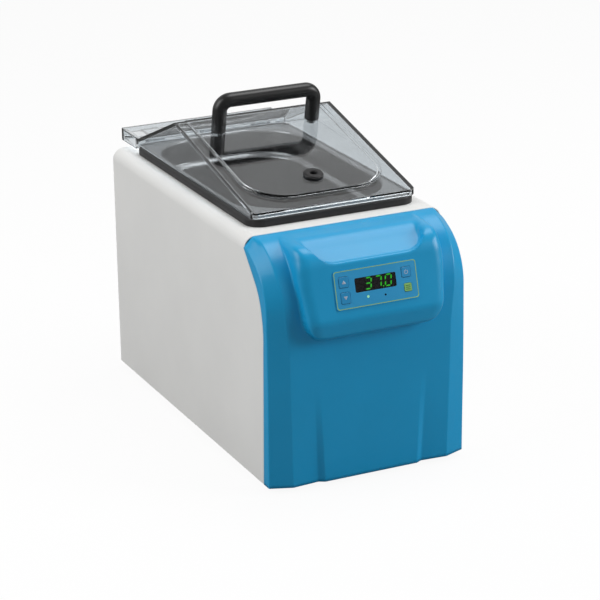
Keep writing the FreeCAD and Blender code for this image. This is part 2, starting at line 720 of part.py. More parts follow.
def display_module():
    u, v, width, height = WINDOW
    return on_face(box(u - width / 2 + 0.6, u + width / 2 - 0.6, v - height / 2 + 0.4,
                       v + height / 2 - 0.4, -BOARD_DEPTH, -MODULE_TOP))


def led(spec, top):
    u, v, radius = spec
    lens = rod(radius, V(u, v, -3.4), V(u, v, top))
    body = rod(radius + 0.5, V(u, v, -BOARD_DEPTH), V(u, v, -3.4))
    return on_face(fuse([lens, body]))


def control_board():
    board = prism_z(rectangle(0, -1.0, BOARD_W, BOARD_H, 1.5), -BOARD_DEPTH - BOARD_T, -BOARD_DEPTH)
    chip = box(-8, 6, -14, -4, -BOARD_DEPTH - BOARD_T - 2.2, -BOARD_DEPTH - BOARD_T)
    socket = box(SIGNAL_X - 8, SIGNAL_X + 8, SIGNAL_V - 2.5, SIGNAL_V + 2.5,
                 -BOARD_DEPTH - BOARD_T - SOCKET_T, -BOARD_DEPTH - BOARD_T)
    board = on_face(fuse([board, chip, socket]))
    holes = [face_round(u, v, 1.6, -BOARD_DEPTH - 6, -BOARD_DEPTH + 2)
             for u in (-POST_U, POST_U) for v in (-POST_V, POST_V)]
    return cut(board, holes)


def board_screws():
    screws = []
    for u in (-POST_U, POST_U):
        for v in (-POST_V, POST_V):
            screws.append(on_face(screw(V(u, v, -BOARD_DEPTH - BOARD_T), V(0, 0, 1), 6.5, 1.2)))
    return Part.makeCompound(screws)


def key_switches():
    pieces = []
    plunger_top = -COVER_WALL - GAP - KEY_STEM - KEY_TRAVEL - GAP
    half = SWITCH / 2
    for u, v, width, height in (KEY_UP, KEY_DOWN, KEY_SET, KEY_POWER):
        body = box(u - half, u + half, v - half, v + half, -BOARD_DEPTH, -BOARD_DEPTH + SWITCH_T)
        plunger = rod(1.7, V(u, v, -BOARD_DEPTH + SWITCH_T), V(u, v, plunger_top))
        pieces.append(on_face(fuse([body, plunger])))
    return Part.makeCompound(pieces)


# ---- tank ---------------------------------------------------------------------------------
def loft_z(levels):
    """Stack of rounded rectangles (grow, z) joined by straight walls."""
    wires = [outline(tank_outline(grow), lambda a, b, z=z: V(a, b, z)) for grow, z in levels]
    return Part.makeLoft(wires, True, True)


def well(grow):
    ledge = RIM - SHOULDER_DEPTH - grow
    top = RIM + (0.0 if grow else 1.0)
    upper = loft_z([(grow, top), (grow, ledge)])
    slope = loft_z([(grow, ledge), (grow - SHOULDER_STEP, ledge - SHOULDER_FALL)])
    bottom = TANK_FLOOR - grow
    lower = loft_z([(grow - SHOULDER_STEP, ledge - SHOULDER_FALL), (grow - SHOULDER_STEP, bottom)])
    rim_edges = [e for e in lower.Edges if abs(e.CenterOfMass.z - bottom) < 0.01]
    lower = lower.makeFillet(FLOOR_R + grow, rim_edges)
    return upper.multiFuse([slope, lower])


def tank():
    flange = prism_z(rectangle(0, FLANGE_Y, FLANGE_W, FLANGE_L, GASKET_R - GASKET_EDGE), RIM - TANK_T, RIM)
    return fuse([flange, well(TANK_T)]).cut(well(0.0))


def tank_gasket():
    outer = prism_z(rectangle(0, FLANGE_Y, GASKET_W, GASKET_L, GASKET_R), TOP_Z, GASKET_Z)
    foot = [e for e in outer.Edges if abs(e.CenterOfMass.z - GASKET_Z) < 0.01]
    outer = outer.makeFillet(1.6, foot)
    seat = prism_z(rectangle(0, FLANGE_Y, FLANGE_W, FLANGE_L, GASKET_R - GASKET_EDGE), RIM - TANK_T,
                   GASKET_Z + 1)
    inner = prism_z(tank_outline(TANK_T), TOP_Z - 1, GASKET_Z + 1)
    return cut(outer, [seat, inner])


def tank_clamps():
    pieces = []
    wall = TANK_W / 2 + TANK_T
    for s in (-1, 1):
        for y in (TANK_Y - CLAMP_Y, TANK_Y + CLAMP_Y):
            y0, y1 = y - CLAMP_W / 2, y + CLAMP_W / 2
            x0, x1 = sorted((s * wall, s * (wall + CLAMP_T)))
            upright = box(x0, x1, y0, y1, UNDER_Z - CLAMP_W, UNDER_Z)
            x0, x1 = sorted((s * wall, s * (wall + CLAMP_L)))
            foot = box(x0, x1, y0, y1, UNDER_Z - CLAMP_T, UNDER_Z)
            pieces.append(fuse([upright, foot]))
    return Part.makeCompound(pieces)


def insulation_jacket():
    inner = TANK_T - SHOULDER_STEP
    low, high = TANK_FLOOR + 14.0, RIM - SHOULDER_DEPTH - SHOULDER_FALL - 4.0
    jacket = loft_z([(inner + JACKET_T, low), (inner + JACKET_T, high)])
    window = box(-PROBE_HALF - 4, SENSOR_X + 6, tank_front_y() - JACKET_T - 1, tank_front_y() + 1,
                 PROBE_Z - 11, PROBE_Z + 11)
    return cut(jacket, [loft_z([(inner, low - 1), (inner, high + 1)]), window])


def heater_mat():
    low = TANK_FLOOR - TANK_T
    return prism_z(rectangle(0, TANK_Y, HEATER_W, HEATER_L, HEATER_R), low - HEATER_T, low)


def insulation_pad():
    top = TANK_FLOOR - TANK_T - HEATER_T
    pad = prism_z(rectangle(0, TANK_Y, HEATER_W, HEATER_L, HEATER_R), top - PAD_T, top)
    pocket = rod(CUTOUT_R + 4.0, V(CUTOUT_X, CUTOUT_Y, top - PAD_T - 1), V(CUTOUT_X, CUTOUT_Y, top + 1))
    leads = [rod(2.0, V(x, LEAD_Y, top - PAD_T - 1), V(x, LEAD_Y, top + 1)) for x in HEATER_PORTS]
    return cut(pad, [pocket] + leads)


def thermal_cutout():
    top = TANK_FLOOR - TANK_T - HEATER_T
    disc = rod(CUTOUT_R, V(CUTOUT_X, CUTOUT_Y, top - 6), V(CUTOUT_X, CUTOUT_Y, top))
    flange = rod(CUTOUT_R + 1.5, V(CUTOUT_X, CUTOUT_Y, top - 1.2), V(CUTOUT_X, CUTOUT_Y, top))
    tabs = [box(CUTOUT_X + s - 0.4, CUTOUT_X + s + 0.4, CUTOUT_Y - 3, CUTOUT_Y + 3, top - 13, top - 6)
            for s in (-4.0, 4.0)]
    return fuse([disc, flange] + tabs)


def tank_front_y():
    return TANK_Y - TANK_L / 2 + SHOULDER_STEP - TANK_T


def probe_y():
    return tank_front_y() - PROBE_R


def temperature_probe():
    return rod(PROBE_R, V(-PROBE_HALF, probe_y(), PROBE_Z), V(PROBE_HALF, probe_y(), PROBE_Z))


def probe_clip():
    y = tank_front_y()
    out = 2 * PROBE_R
    half = CLIP_W / 2
    strap = box(-half, half, y - out - 1.2, y, PROBE_Z - 9, PROBE_Z + 9)
    hollow = box(-half - 1, half + 1, y - out, y + 1, PROBE_Z - PROBE_R, PROBE_Z + PROBE_R)
    step = PROBE_R + 1.2
    upper = box(-half - 1, half + 1, y - out - 2, y - 1.2, PROBE_Z + step, PROBE_Z + 10)
    lower = box(-half - 1, half + 1, y - out - 2, y - 1.2, PROBE_Z - 10, PROBE_Z - step)
    return cut(strap, [hollow, upper, lower])


# ---- power electronics --------------------------------------------------------------------
def board_corners():
    x, y = POWER_W / 2 - STANDOFF_IN, POWER_L / 2 - STANDOFF_IN
    return [(s * x, POWER_Y + t * y) for s in (-1, 1) for t in (-1, 1)]


def on_power_board(spec, up=0.0):
    """Block standing on the power board: middle x, middle y, width, length, height."""
    x, y, width, length, height = spec
    return box(x - width / 2, x + width / 2, POWER_Y + y - length / 2, POWER_Y + y + length / 2,
               POWER_TOP + up, POWER_TOP + up + height)


def standoffs():
    return Part.makeCompound([rod(STANDOFF_R, V(x, y, PLATE_TOP), V(x, y, PLATE_TOP + STANDOFF_H))
                              for x, y in board_corners()])


def power_board():
    board = on_power_board((0.0, 0.0, POWER_W, POWER_L, BOARD_T), -BOARD_T)
    header = box(SIGNAL_X - HEADER_HALF, SIGNAL_X + HEADER_HALF, HEADER_Y - HEADER_HALF / 2,
                 HEADER_Y + HEADER_HALF / 2, POWER_TOP, POWER_TOP + HEADER_H)
    return fuse([board, header])


def power_board_screws():
    return Part.makeCompound([rod(STANDOFF_R - 0.2, V(x, y, POWER_TOP), V(x, y, POWER_TOP + 1.8))
                              for x, y in board_corners()])


def transformer():
    x, y, width, length, height = CORE
    bobbin = (x, y, width - 2 * BOBBIN_IN, length + 2 * (BOBBIN_IN - 1), height + 2 * CORE_UP)
    return fuse([on_power_board(CORE, CORE_UP), on_power_board(bobbin)])


def power_relay():
    return on_power_board(RELAY)


def triac_heatsink():
    x, y, width, length, height = SINK
    front = y - length / 2
    spine = on_power_board((x, front + SPINE_T / 2, width, SPINE_T, height))
    step = (width - FIN_T) / (FINS - 1)
    fins = [on_power_board((x - width / 2 + FIN_T / 2 + i * step, y + SPINE_T / 2, FIN_T,
                            length - SPINE_T, height)) for i in range(FINS)]
    return fuse([spine] + fins)


def triac():
    x, y, width, length, height = SINK
    middle = x - 1.0
    y = y - length / 2 - TRIAC_T / 2
    body = on_power_board((middle, y, TRIAC_W, TRIAC_T, TRIAC_H), LEG_H)
    legs = [on_power_board((middle + i * 3.0, y - 0.15, 0.8, 0.8, LEG_H)) for i in (-1, 0, 1)]
    return fuse([body] + legs)


def terminal_block():
    y = POWER_Y + TERMINAL[1] + TERMINAL[3] / 2
    ports = [box(x, x + PORT_W, y - 2, y + 1, POWER_TOP + 2, POWER_TOP + 8)
             for x in [PORT_FIRST + i * PORT_PITCH for i in range(5)]]
    return cut(on_power_board(TERMINAL), ports)


def capacitors():
    return Part.makeCompound([rod(CAN_R, V(x, POWER_Y + y, POWER_TOP),
                                  V(x, POWER_Y + y, POWER_TOP + CAN_H)) for x, y in CANS])


# ---- leads --------------------------------------------------------------------------------
def lead_level():
    return POWER_TOP + LEAD_UP


def heater_leads():
    top = TANK_FLOOR - TANK_T - HEATER_T
    return [pipe([V(x, LEAD_Y, top), V(x, LEAD_Y, lead_level()), V(x, PORT_FACE_Y, lead_level())], 1.1)
            for x in HEATER_PORTS]


def inlet_leads():
    z = lead_level()
    leads = []
    for port, inlet_x, turn in zip(INLET_PORTS, (INLET_X - 7.0, INLET_X + 7.0), (60.0, 76.0)):
        leads.append(pipe([V(port, PORT_FACE_Y, z), V(port, turn, z), V(inlet_x, turn, z),
                           V(inlet_x, inlet_back_y() - 10.0, z),
                           V(inlet_x, inlet_back_y() - 10.0, INLET_Z + 8.0),
                           V(inlet_x, inlet_back_y(), INLET_Z + 8.0)], 1.3))
    return leads


def signal_cable():
    """From the socket behind the control board down to the header of the power board."""
    lean = math.radians(FACE_TILT)
    back = BOARD_DEPTH + BOARD_T + SOCKET_T
    start = V(SIGNAL_X, FACE_Y + SIGNAL_V * math.sin(lean) + back * math.cos(lean),
              FACE_Z + SIGNAL_V * math.cos(lean) - back * math.sin(lean))
    run = (HEADER_Y - start.y) / math.cos(lean)
    corner = start.add(V(0, HEADER_Y - start.y, -run * math.sin(lean)))
    return pipe([start, corner, V(SIGNAL_X, HEADER_Y, POWER_TOP + HEADER_H)], 1.5)


def sensor_lead():
    """From the probe out through the jacket and up to the back of the control board."""
    lean = math.radians(FACE_TILT)
    back = BOARD_DEPTH + BOARD_T
    v = (SENSOR_Z - FACE_Z + back * math.sin(lean)) / math.cos(lean)
    end_y = FACE_Y + v * math.sin(lean) + back * math.cos(lean)
    y = probe_y()
    return pipe([V(PROBE_HALF, y, PROBE_Z), V(SENSOR_X, y, PROBE_Z), V(SENSOR_X, y - 20.0, PROBE_Z),
                 V(SENSOR_X, y - 20.0, SENSOR_Z), V(SENSOR_X, end_y, SENSOR_Z)], 0.9)


# ---- mains inlet --------------------------------------------------------------------------
def inlet_flange_y():
    return REAR_FACE + INLET_FLANGE_T


def inlet_back_y():
    return inlet_flange_y() - INLET_L


def drawer_slot(margin):
    z = INLET_Z - DRAWER_DROP
    half = DRAWER_W / 2 + margin
    return box(INLET_X - half, INLET_X + half, inlet_flange_y() - DRAWER_L - margin,
               inlet_flange_y() + 1, z - DRAWER_H / 2 - margin, z + DRAWER_H / 2 + margin)


def mains_inlet():
    front = inlet_flange_y()
    flange = prism_y(rectangle(INLET_X, INLET_Z - 3, INLET_W, INLET_H, 4.0), REAR_FACE, front)
    block = box(INLET_X - 16.5, INLET_X + 16.5, inlet_back_y(), REAR_FACE,
                INLET_Z - INLET_H / 2 + 2.5, INLET_Z + INLET_H / 2 - 6.5)
    socket = [(-12.0, INLET_Z - 4.5, 1.5), (12.0, INLET_Z - 4.5, 1.5), (12.0, INLET_Z + 5.5, 1.5),
              (6.5, INLET_Z + 11.5, 1.5), (-6.5, INLET_Z + 11.5, 1.5), (-12.0, INLET_Z + 5.5, 1.5)]
    socket = [(a + INLET_X, b, r) for a, b, r in socket]
    recess = prism_y(socket, front - RECESS_L, front + 1)
    holes = [rod(1.7, V(INLET_X + s * INLET_SCREW_X, REAR_FACE - 1, INLET_Z - 3),
                 V(INLET_X + s * INLET_SCREW_X, front + 1, INLET_Z - 3)) for s in (-1, 1)]
    return cut(fuse([flange, block]), [recess, drawer_slot(GAP)] + holes)


def inlet_pins_at():
    return [(INLET_X - 5.0, INLET_Z + 0.9), (INLET_X + 5.0, INLET_Z + 0.9), (INLET_X, INLET_Z + 5.4)]


def inlet_pins():
    front = inlet_flange_y()
    return Part.makeCompound([box(x - 2.0, x + 2.0, front - RECESS_L, front - 5, z - 1.0, z + 1.0)
                              for x, z in inlet_pins_at()])


def inlet_screws():
    front = inlet_flange_y()
    return Part.makeCompound([screw(V(INLET_X + s * INLET_SCREW_X, front, INLET_Z - 3),
                                    V(0, -1, 0), 4.5, 1.6) for s in (-1, 1)])


def fuse_drawer():
    z = INLET_Z - DRAWER_DROP
    y0 = inlet_flange_y() - DRAWER_L
    tray = box(INLET_X - DRAWER_W / 2, INLET_X + DRAWER_W / 2, y0, inlet_flange_y() + GAP,
               z - DRAWER_H / 2, z + DRAWER_H / 2)
    pocket = box(INLET_X - DRAWER_W / 2 + 2, INLET_X + DRAWER_W / 2 - 2, y0 + 2,
                 inlet_flange_y() - 2, z - DRAWER_H / 2 + 1.2, z + DRAWER_H / 2 + 1)
    lip = prism_y(rectangle(INLET_X, z, DRAWER_W + 4, DRAWER_H + 2.4, 1.5),
                  inlet_flange_y() + GAP, inlet_flange_y() + GAP + 2.2)
    grip = box(INLET_X - 6, INLET_X + 6, inlet_flange_y() + GAP + 1.2,
               inlet_flange_y() + GAP + 3, z - DRAWER_H / 2 - 0.4, z - DRAWER_H / 2 + 1.6)
    return cut(fuse([tray, lip]), [pocket, grip])


def cartridge_fuse():
    z = INLET_Z - DRAWER_DROP - DRAWER_H / 2 + 1.2 + 2.6
    y0 = inlet_flange_y() - DRAWER_L + 2.8
    glass = rod(2.4, V(INLET_X, y0 + 5, z), V(INLET_X, y0 + 15, z))
    caps = [rod(2.6, V(INLET_X, y, z), V(INLET_X, y + 5, z)) for y in (y0, y0 + 15)]
    return fuse([glass] + caps)


# ---- lid ----------------------------------------------------------------------------------
def lid_profile():
    low = LID_LOW
    return [(LID_FRONT_Y, low, 0.0), (LID_REAR_Y, low, 0.0), (LID_REAR_Y, STRIP_TOP, 0.0),
            (REAR_SLOPE_Y, STRIP_TOP, 0.0), (RIDGE_Y, RIDGE_Z, 0.0),
            (LID_FRONT_Y, LID_FRONT_TOP, 0.0)]


def lid_plan(depth):
    half = LID_W / 2 - depth
    front = LID_FRONT_Y + depth
    rear = LID_REAR_Y - depth
    radius = LID_CORNER_R - depth
    return [(-half, front, radius), (half, front, radius), (half, rear, 0.0), (-half, rear, 0.0)]


def lid_body(depth):
    low = LID_LOW - (5.0 if depth else 0.0)
    if depth:
        profile = inset(lid_profile(), depth)
        profile[0] = (profile[0][0], low, 0.0)
        profile[1] = (profile[1][0], low, 0.0)
    else:
        profile = lid_profile()
    block = prism_x(profile, -LID_W / 2, LID_W / 2)
    return block.common(prism_z(lid_plan(depth), low - 1, RIDGE_Z + 10))


def lid_panel(depth):
    """Raised panel of the front slope, dying out towards the ridge."""
    half = PANEL_HALF - depth
    start = PANEL_START + depth
    radius = PANEL_CORNER_R - depth
    end = SLOPE_L - (0.0 if depth == 0 else depth * 0.6)
    plan = [(-half, start, radius), (half, start, radius), (half, end, 0.0), (-half, end, 0.0)]
    high, low = PANEL_RISE
    top = [(0.0, -LID_WALL, 0.0), (end, -LID_WALL, 0.0), (end, panel_height(end) - depth, 0.0),
           (0.0, high - depth, 0.0)]
    if depth:
        top[0] = (0.0, -LID_WALL - 2.0, 0.0)
        top[1] = (end, -LID_WALL - 2.0, 0.0)
    plate = prism_z(plan, -LID_WALL - 3.0, high + 1.0)
    wedge = prism_x(top, -HALF_W, HALF_W)
    return on_slope(plate.common(wedge))


def hinge_strip():
    """Flat strip behind the lid with its skirt and the two end walls that carry the pin."""
    half = LID_W / 2
    top = STRIP_TOP
    low = SKIRT_LOW
    strip = box(-half, half, REAR_SLOPE_Y, SKIRT_Y, top - STRIP_T, top)
    skirt = box(-half, half, SKIRT_Y - SKIRT_T, SKIRT_Y, low, top)
    ends = []
    for s in (-1, 1):
        x0, x1 = sorted((s * half, s * (half - LID_WALL)))
        ends.append(box(x0, x1, LID_REAR_Y + 1.0, SKIRT_Y, low, top))
    return [strip, skirt] + ends


def lid_shell():
    outside = fuse([lid_body(0.0), lid_panel(0.0)] + hinge_strip())
    inside = lid_body(LID_WALL).fuse(lid_panel(LID_WALL))
    shell = outside.cut(inside)
    pin = rod(PIN_R + FIT, V(-HALF_W, PIVOT_Y, PIVOT_Z), V(HALF_W, PIVOT_Y, PIVOT_Z))
    port = on_panel(rod(PORT_R, V(0, PORT_V, -12), V(0, PORT_V, 12)), PORT_V)
    screws = [on_panel(rod(2.6, V(s * HANDLE_SPAN / 2, HANDLE_V, -12),
                           V(s * HANDLE_SPAN / 2, HANDLE_V, 12)), HANDLE_V) for s in (-1, 1)]
    return cut(shell, [pin, port] + screws)


def lid_grommet():
    top = panel_height(PORT_V)
    low = top - LID_WALL
    waist = rod(PORT_R, V(0, PORT_V, low), V(0, PORT_V, top))
    upper = rod(GROMMET_R, V(0, PORT_V, top), V(0, PORT_V, top + GROMMET_LIP))
    ring = [e for e in upper.Edges if e.CenterOfMass.z > top + GROMMET_LIP - 0.01 and len(e.Vertexes) == 1]
    upper = upper.makeFillet(1.1, ring)
    lower = rod(GROMMET_R, V(0, PORT_V, low - GROMMET_LIP), V(0, PORT_V, low))
    bore = rod(GROMMET_BORE, V(0, PORT_V, low - 5), V(0, PORT_V, top + 5))
    return on_panel(fuse([waist, upper, lower]).cut(bore), PORT_V)


def handle():
    half = HANDLE_SPAN / 2
    foot = panel_height(HANDLE_V)
    high = foot + HANDLE_RISE
    r = HANDLE_BEND
    k = r * (1 - math.sqrt(0.5))
    corners = [(s * half, high - r) for s in (-1, 1)]
    edges = [Part.LineSegment(V(-half, HANDLE_V, foot), V(-half, HANDLE_V, corners[0][1])).toShape(),
             Part.Arc(V(-half, HANDLE_V, high - r), V(-half + k, HANDLE_V, high - k),
                      V(-half + r, HANDLE_V, high)).toShape(),
             Part.LineSegment(V(-half + r, HANDLE_V, high), V(half - r, HANDLE_V, high)).toShape(),
             Part.Arc(V(half - r, HANDLE_V, high), V(half - k, HANDLE_V, high - k),
                      V(half, HANDLE_V, high - r)).toShape(),
             Part.LineSegment(V(half, HANDLE_V, high - r), V(half, HANDLE_V, foot)).toShape()]
    ring = Part.Wire([Part.Circle(V(-half, HANDLE_V, foot), V(0, 0, 1), HANDLE_R).toShape()])
    bar = Part.Wire(edges).makePipeShell([ring], True, False)
    holes = [rod(2.0, V(s * half, HANDLE_V, foot - 1), V(s * half, HANDLE_V, foot + 12))
             for s in (-1, 1)]
    return on_panel(cut(bar, holes), HANDLE_V)


def handle_screws():
    under = panel_height(HANDLE_V) - LID_WALL
    screws = [on_panel(screw(V(s * HANDLE_SPAN / 2, HANDLE_V, under), V(0, 0, 1), 13.0, 2.0),
                       HANDLE_V) for s in (-1, 1)]
    return Part.makeCompound(screws)


def hinge_base():
    y0, y1 = HINGE_FRONT_Y, HINGE_BACK_Y
    plate = box(-HINGE_HALF, HINGE_HALF, y0, y1, TOP_Z, TOP_Z + HINGE_PLATE_T)
    arms = []
    py, pz = PIVOT_Y, PIVOT_Z
    for x in (-HINGE_ARM_X, 0.0, HINGE_ARM_X):
        side = plain([(y0 + 1, TOP_Z), (y1 - 3.5, TOP_Z), (y1 - 1, pz - 1.4), (py, pz - 1.8),
                      (py, pz + KNUCKLE_R), (y1 - 4, pz + KNUCKLE_R), (y0 + 1, pz)])
        knuckle = rod(KNUCKLE_R, V(x - KNUCKLE_HALF, py, pz), V(x + KNUCKLE_HALF, py, pz))
        arms += [prism_x(side, x - KNUCKLE_HALF, x + KNUCKLE_HALF), knuckle]
    body = fuse([plate] + arms)
    pin = rod(PIN_R + 0.02, V(-HALF_W, py, pz), V(HALF_W, py, pz))
    holes = [rod(HINGE_HOLE_R, p.add(V(0, 0, -4)), p.add(V(0, 0, 2))) for p in hinge_screw_points()]
    return cut(body, [pin] + holes)


def hinge_pin():
    half = LID_W / 2 - 0.2
    return rod(PIN_R, V(-half, PIVOT_Y, PIVOT_Z), V(half, PIVOT_Y, PIVOT_Z))


def hinge_screws():
    return Part.makeCompound([screw(p, V(0, 0, -1), 7.0, 2.0) for p in hinge_screw_points()])


# ---- feet and fixings ---------------------------------------------------------------------
def foot_points():
    return [V(x, y, 0) for x in (-FOOT_X, FOOT_X) for y in FOOT_YS]


def rubber_feet():
    feet = []
    for p in foot_points():
        pad = Part.makeCone(FOOT_R - 1.0, FOOT_R, FLOOR_TOP, p, V(0, 0, 1))
        pocket = rod(4.2, p.add(V(0, 0, -1)), p.add(V(0, 0, 3.0)))
        hole = rod(2.1, p, p.add(V(0, 0, FLOOR_TOP + 1)))
        feet.append(cut(pad, [pocket, hole]))
    return Part.makeCompound(feet)


def feet_screws():
    return Part.makeCompound([screw(p.add(V(0, 0, 3.0)), V(0, 0, 1), 8.0, 2.0)
                              for p in foot_points()])


def cover_screws():
    return Part.makeCompound([screw(V(s * COVER_POST_X, COVER_POST_Y, FLOOR_TOP), V(0, 0, 1),
                                    12.0, 1.5) for s in (-1, 1)])


def rear_screws():
    return Part.makeCompound([screw(V(x, REAR_FACE, PLATE_TOP + REAR_SCREW_UP), V(0, -1, 0),
                                    5.0, 1.4) for x in (-REAR_SCREW_X, REAR_SCREW_X)])


NODES = {
    "outer_housing": outer_housing, "base_plate": base_plate, "rear_panel": rear_panel,
    "front_cover": front_cover, "control_label": control_label,
    "key_up": lambda: key(KEY_UP), "key_down": lambda: key(KEY_DOWN),
    "key_set": lambda: key(KEY_SET), "key_power": lambda: key(KEY_POWER),
    "display_window": display_window, "display_digits": display_digits,
    "display_module": display_module, "led_heat": lambda: led(LED_HEAT, LABEL_T + 0.2),
    "led_alarm": lambda: led(LED_ALARM, LABEL_T + 0.1), "control_board": control_board,
    "board_screws": board_screws, "key_switches": key_switches, "tank": tank,
    "tank_gasket": tank_gasket, "tank_clamps": tank_clamps,
    "insulation_jacket": insulation_jacket, "heater_mat": heater_mat,
    "insulation_pad": insulation_pad, "thermal_cutout": thermal_cutout,
    "temperature_probe": temperature_probe, "probe_clip": probe_clip, "standoffs": standoffs,
    "power_board": power_board, "power_board_screws": power_board_screws,
    "transformer": transformer, "power_relay": power_relay, "triac": triac,
    "triac_heatsink": triac_heatsink, "terminal_block": terminal_block,
    "capacitors": capacitors, "heater_leads": lambda: Part.makeCompound(heater_leads()),
    "inlet_leads": lambda: Part.makeCompound(inlet_leads()), "signal_cable": signal_cable,
    "sensor_lead": sensor_lead, "mains_inlet": mains_inlet,
    "inlet_pins": inlet_pins, "inlet_screws": inlet_screws, "fuse_drawer": fuse_drawer,
    "cartridge_fuse": cartridge_fuse, "lid_shell": lid_shell, "lid_grommet": lid_grommet,
    "handle": handle, "handle_screws": handle_screws, "hinge_base": hinge_base,
    "hinge_pin": hinge_pin, "hinge_screws": hinge_screws, "rubber_feet": rubber_feet,
    "feet_screws": feet_screws, "cover_screws": cover_screws, "rear_screws": rear_screws,
}

os.makedirs("parts", exist_ok=True)
for name, make in NODES.items():
    shape = make()
    size = shape.BoundBox
    print(f"{name:20s} solids {len(shape.Solids):2d} valid {shape.isValid()} "
          f"x {size.XMin:7.1f} {size.XMax:7.1f} y {size.YMin:7.1f} {size.YMax:7.1f} "
          f"z {size.ZMin:6.1f} {size.ZMax:6.1f} vol {shape.Volume:.0f}")
    shape.exportStep(f"parts/{name}.step")
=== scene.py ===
# %% [markdown]
# A digital water bath: a painted steel housing with a moulded blue front, a deep-drawn
# steel tank in a black gasket, and a hinged clear lid with a handle.  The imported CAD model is
# loaded first, because every piece made here rides on one of its bodies and takes its
# place from it.  All lengths are metres; MM turns millimetres into metres.

# %% Load the frame
import json
import math
import bmesh
import bpy
import numpy as np
from mathutils import Matrix, Vector


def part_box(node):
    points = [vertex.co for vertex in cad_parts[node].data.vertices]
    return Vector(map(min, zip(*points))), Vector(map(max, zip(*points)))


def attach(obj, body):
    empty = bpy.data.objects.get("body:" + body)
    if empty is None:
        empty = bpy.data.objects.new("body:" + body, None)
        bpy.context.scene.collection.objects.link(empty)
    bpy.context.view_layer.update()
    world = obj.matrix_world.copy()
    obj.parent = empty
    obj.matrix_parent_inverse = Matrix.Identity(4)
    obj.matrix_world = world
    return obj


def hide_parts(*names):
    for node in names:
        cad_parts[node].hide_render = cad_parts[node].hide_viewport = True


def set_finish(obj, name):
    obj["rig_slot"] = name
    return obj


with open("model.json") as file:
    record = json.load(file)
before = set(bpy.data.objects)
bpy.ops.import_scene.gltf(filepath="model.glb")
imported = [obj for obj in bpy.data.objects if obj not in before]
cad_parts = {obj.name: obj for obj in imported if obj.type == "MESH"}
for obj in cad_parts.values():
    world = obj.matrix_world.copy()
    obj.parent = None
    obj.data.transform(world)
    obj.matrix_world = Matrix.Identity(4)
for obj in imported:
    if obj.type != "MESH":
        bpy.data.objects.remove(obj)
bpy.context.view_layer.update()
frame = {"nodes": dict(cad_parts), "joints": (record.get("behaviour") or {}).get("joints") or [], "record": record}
nodes = frame["nodes"]
MM = 0.001

# %% [markdown]
# Colours are read off the real thing as screen values, but Blender's shaders work with linear
# light, so one small function turns a hex colour into linear numbers.

# %% Colours
def colour(code):
    """Screen colour #rrggbb to linear light: the power curve of the sRGB standard, per channel."""
    value = np.array([int(code[i:i + 2], 16) for i in (1, 3, 5)]) / 255.0
    linear = np.where(value <= 0.04045, value / 12.92, ((value + 0.055) / 1.055) ** 2.4)
    return (*[float(v) for v in linear], 1.0)

print("cover blue in linear light:", [round(v, 3) for v in colour("#1aa3da")[:3]])

# %% [markdown]
# Three effects are shared by many finishes, so each is a node group built once.  The edge
# mask compares the true normal with a rounded one: they differ only near an edge, which it
# paints lighter, partly as rubbing and partly as a painted edge highlight.  Grain is the
# fine texture of a mould or of powder paint.  Brushing is noise stretched along one axis.

# %% Node helpers
def new_group(name, inputs, outputs):
    """Empty shader group with float sockets; inputs are (name, default), outputs are names."""
    group = bpy.data.node_groups.new(name, "ShaderNodeTree")
    for label, default in inputs:
        socket = group.interface.new_socket(name=label, in_out="INPUT",
                                            socket_type="NodeSocketFloat")
        socket.default_value = default
    for label in outputs:
        group.interface.new_socket(name=label, in_out="OUTPUT", socket_type="NodeSocketFloat")
    return group, group.nodes.new("NodeGroupInput"), group.nodes.new("NodeGroupOutput")


def node(tree, kind, inputs=(), **settings):
    """Adds a node; inputs are {socket: number or output socket}, settings are its properties."""
    made = tree.nodes.new(kind)
    for key, value in settings.items():
        setattr(made, key, value)
    for key, value in dict(inputs).items():
        if isinstance(value, bpy.types.NodeSocket):
            tree.links.new(value, made.inputs[key])
        else:
            made.inputs[key].default_value = value
    return made


def remap(tree, value, low, high, to_low=0.0, to_high=1.0):
    """Map Range node that takes low to high over to to_low to to_high; gives its output."""
    ends = {"Value": value, "From Min": low, "From Max": high, "To Min": to_low, "To Max": to_high}
    return node(tree, "ShaderNodeMapRange", ends).outputs["Result"]


def noise(tree, vector, scale, detail, rough):
    """Noise texture; gives its output."""
    return node(tree, "ShaderNodeTexNoise", {"Vector": vector, "Scale": scale, "Detail": detail,
                "Roughness": rough}).outputs["Fac"]


def mix(tree, factor, first, second):
    """Mix of two colours; gives its output."""
    return node(tree, "ShaderNodeMix", {"Factor": factor, 6: first, 7: second},
                data_type="RGBA").outputs[2]


def new_material(name):
    """New material with its node tree and the Principled shader that comes with it."""
    material = bpy.data.materials.new(name)
    material.use_nodes = True
    return material, material.node_tree, material.node_tree.nodes["Principled BSDF"]


# %% Edge rubbing and painted edge highlight group
rub_and_sheen_group, gin, gout = new_group("edge_rub_and_sheen", [("Radius", 0.001), ("Amount", 1.0)], ["Mask"])
true_normal = node(rub_and_sheen_group, "ShaderNodeNewGeometry")
soft_normal = node(rub_and_sheen_group, "ShaderNodeBevel", {"Radius": gin.outputs["Radius"]}, samples=4)
facing = node(rub_and_sheen_group, "ShaderNodeVectorMath",
              {0: true_normal.outputs["Normal"], 1: soft_normal.outputs["Normal"]},
              operation="DOT_PRODUCT")
edge = remap(rub_and_sheen_group, facing.outputs["Value"], 0.995, 0.86)
place = node(rub_and_sheen_group, "ShaderNodeTexCoord")
patch = remap(rub_and_sheen_group, noise(rub_and_sheen_group, place.outputs["Object"], 160.0, 4.0, 0.6),
              0.35, 0.7, 0.25, 1.0)
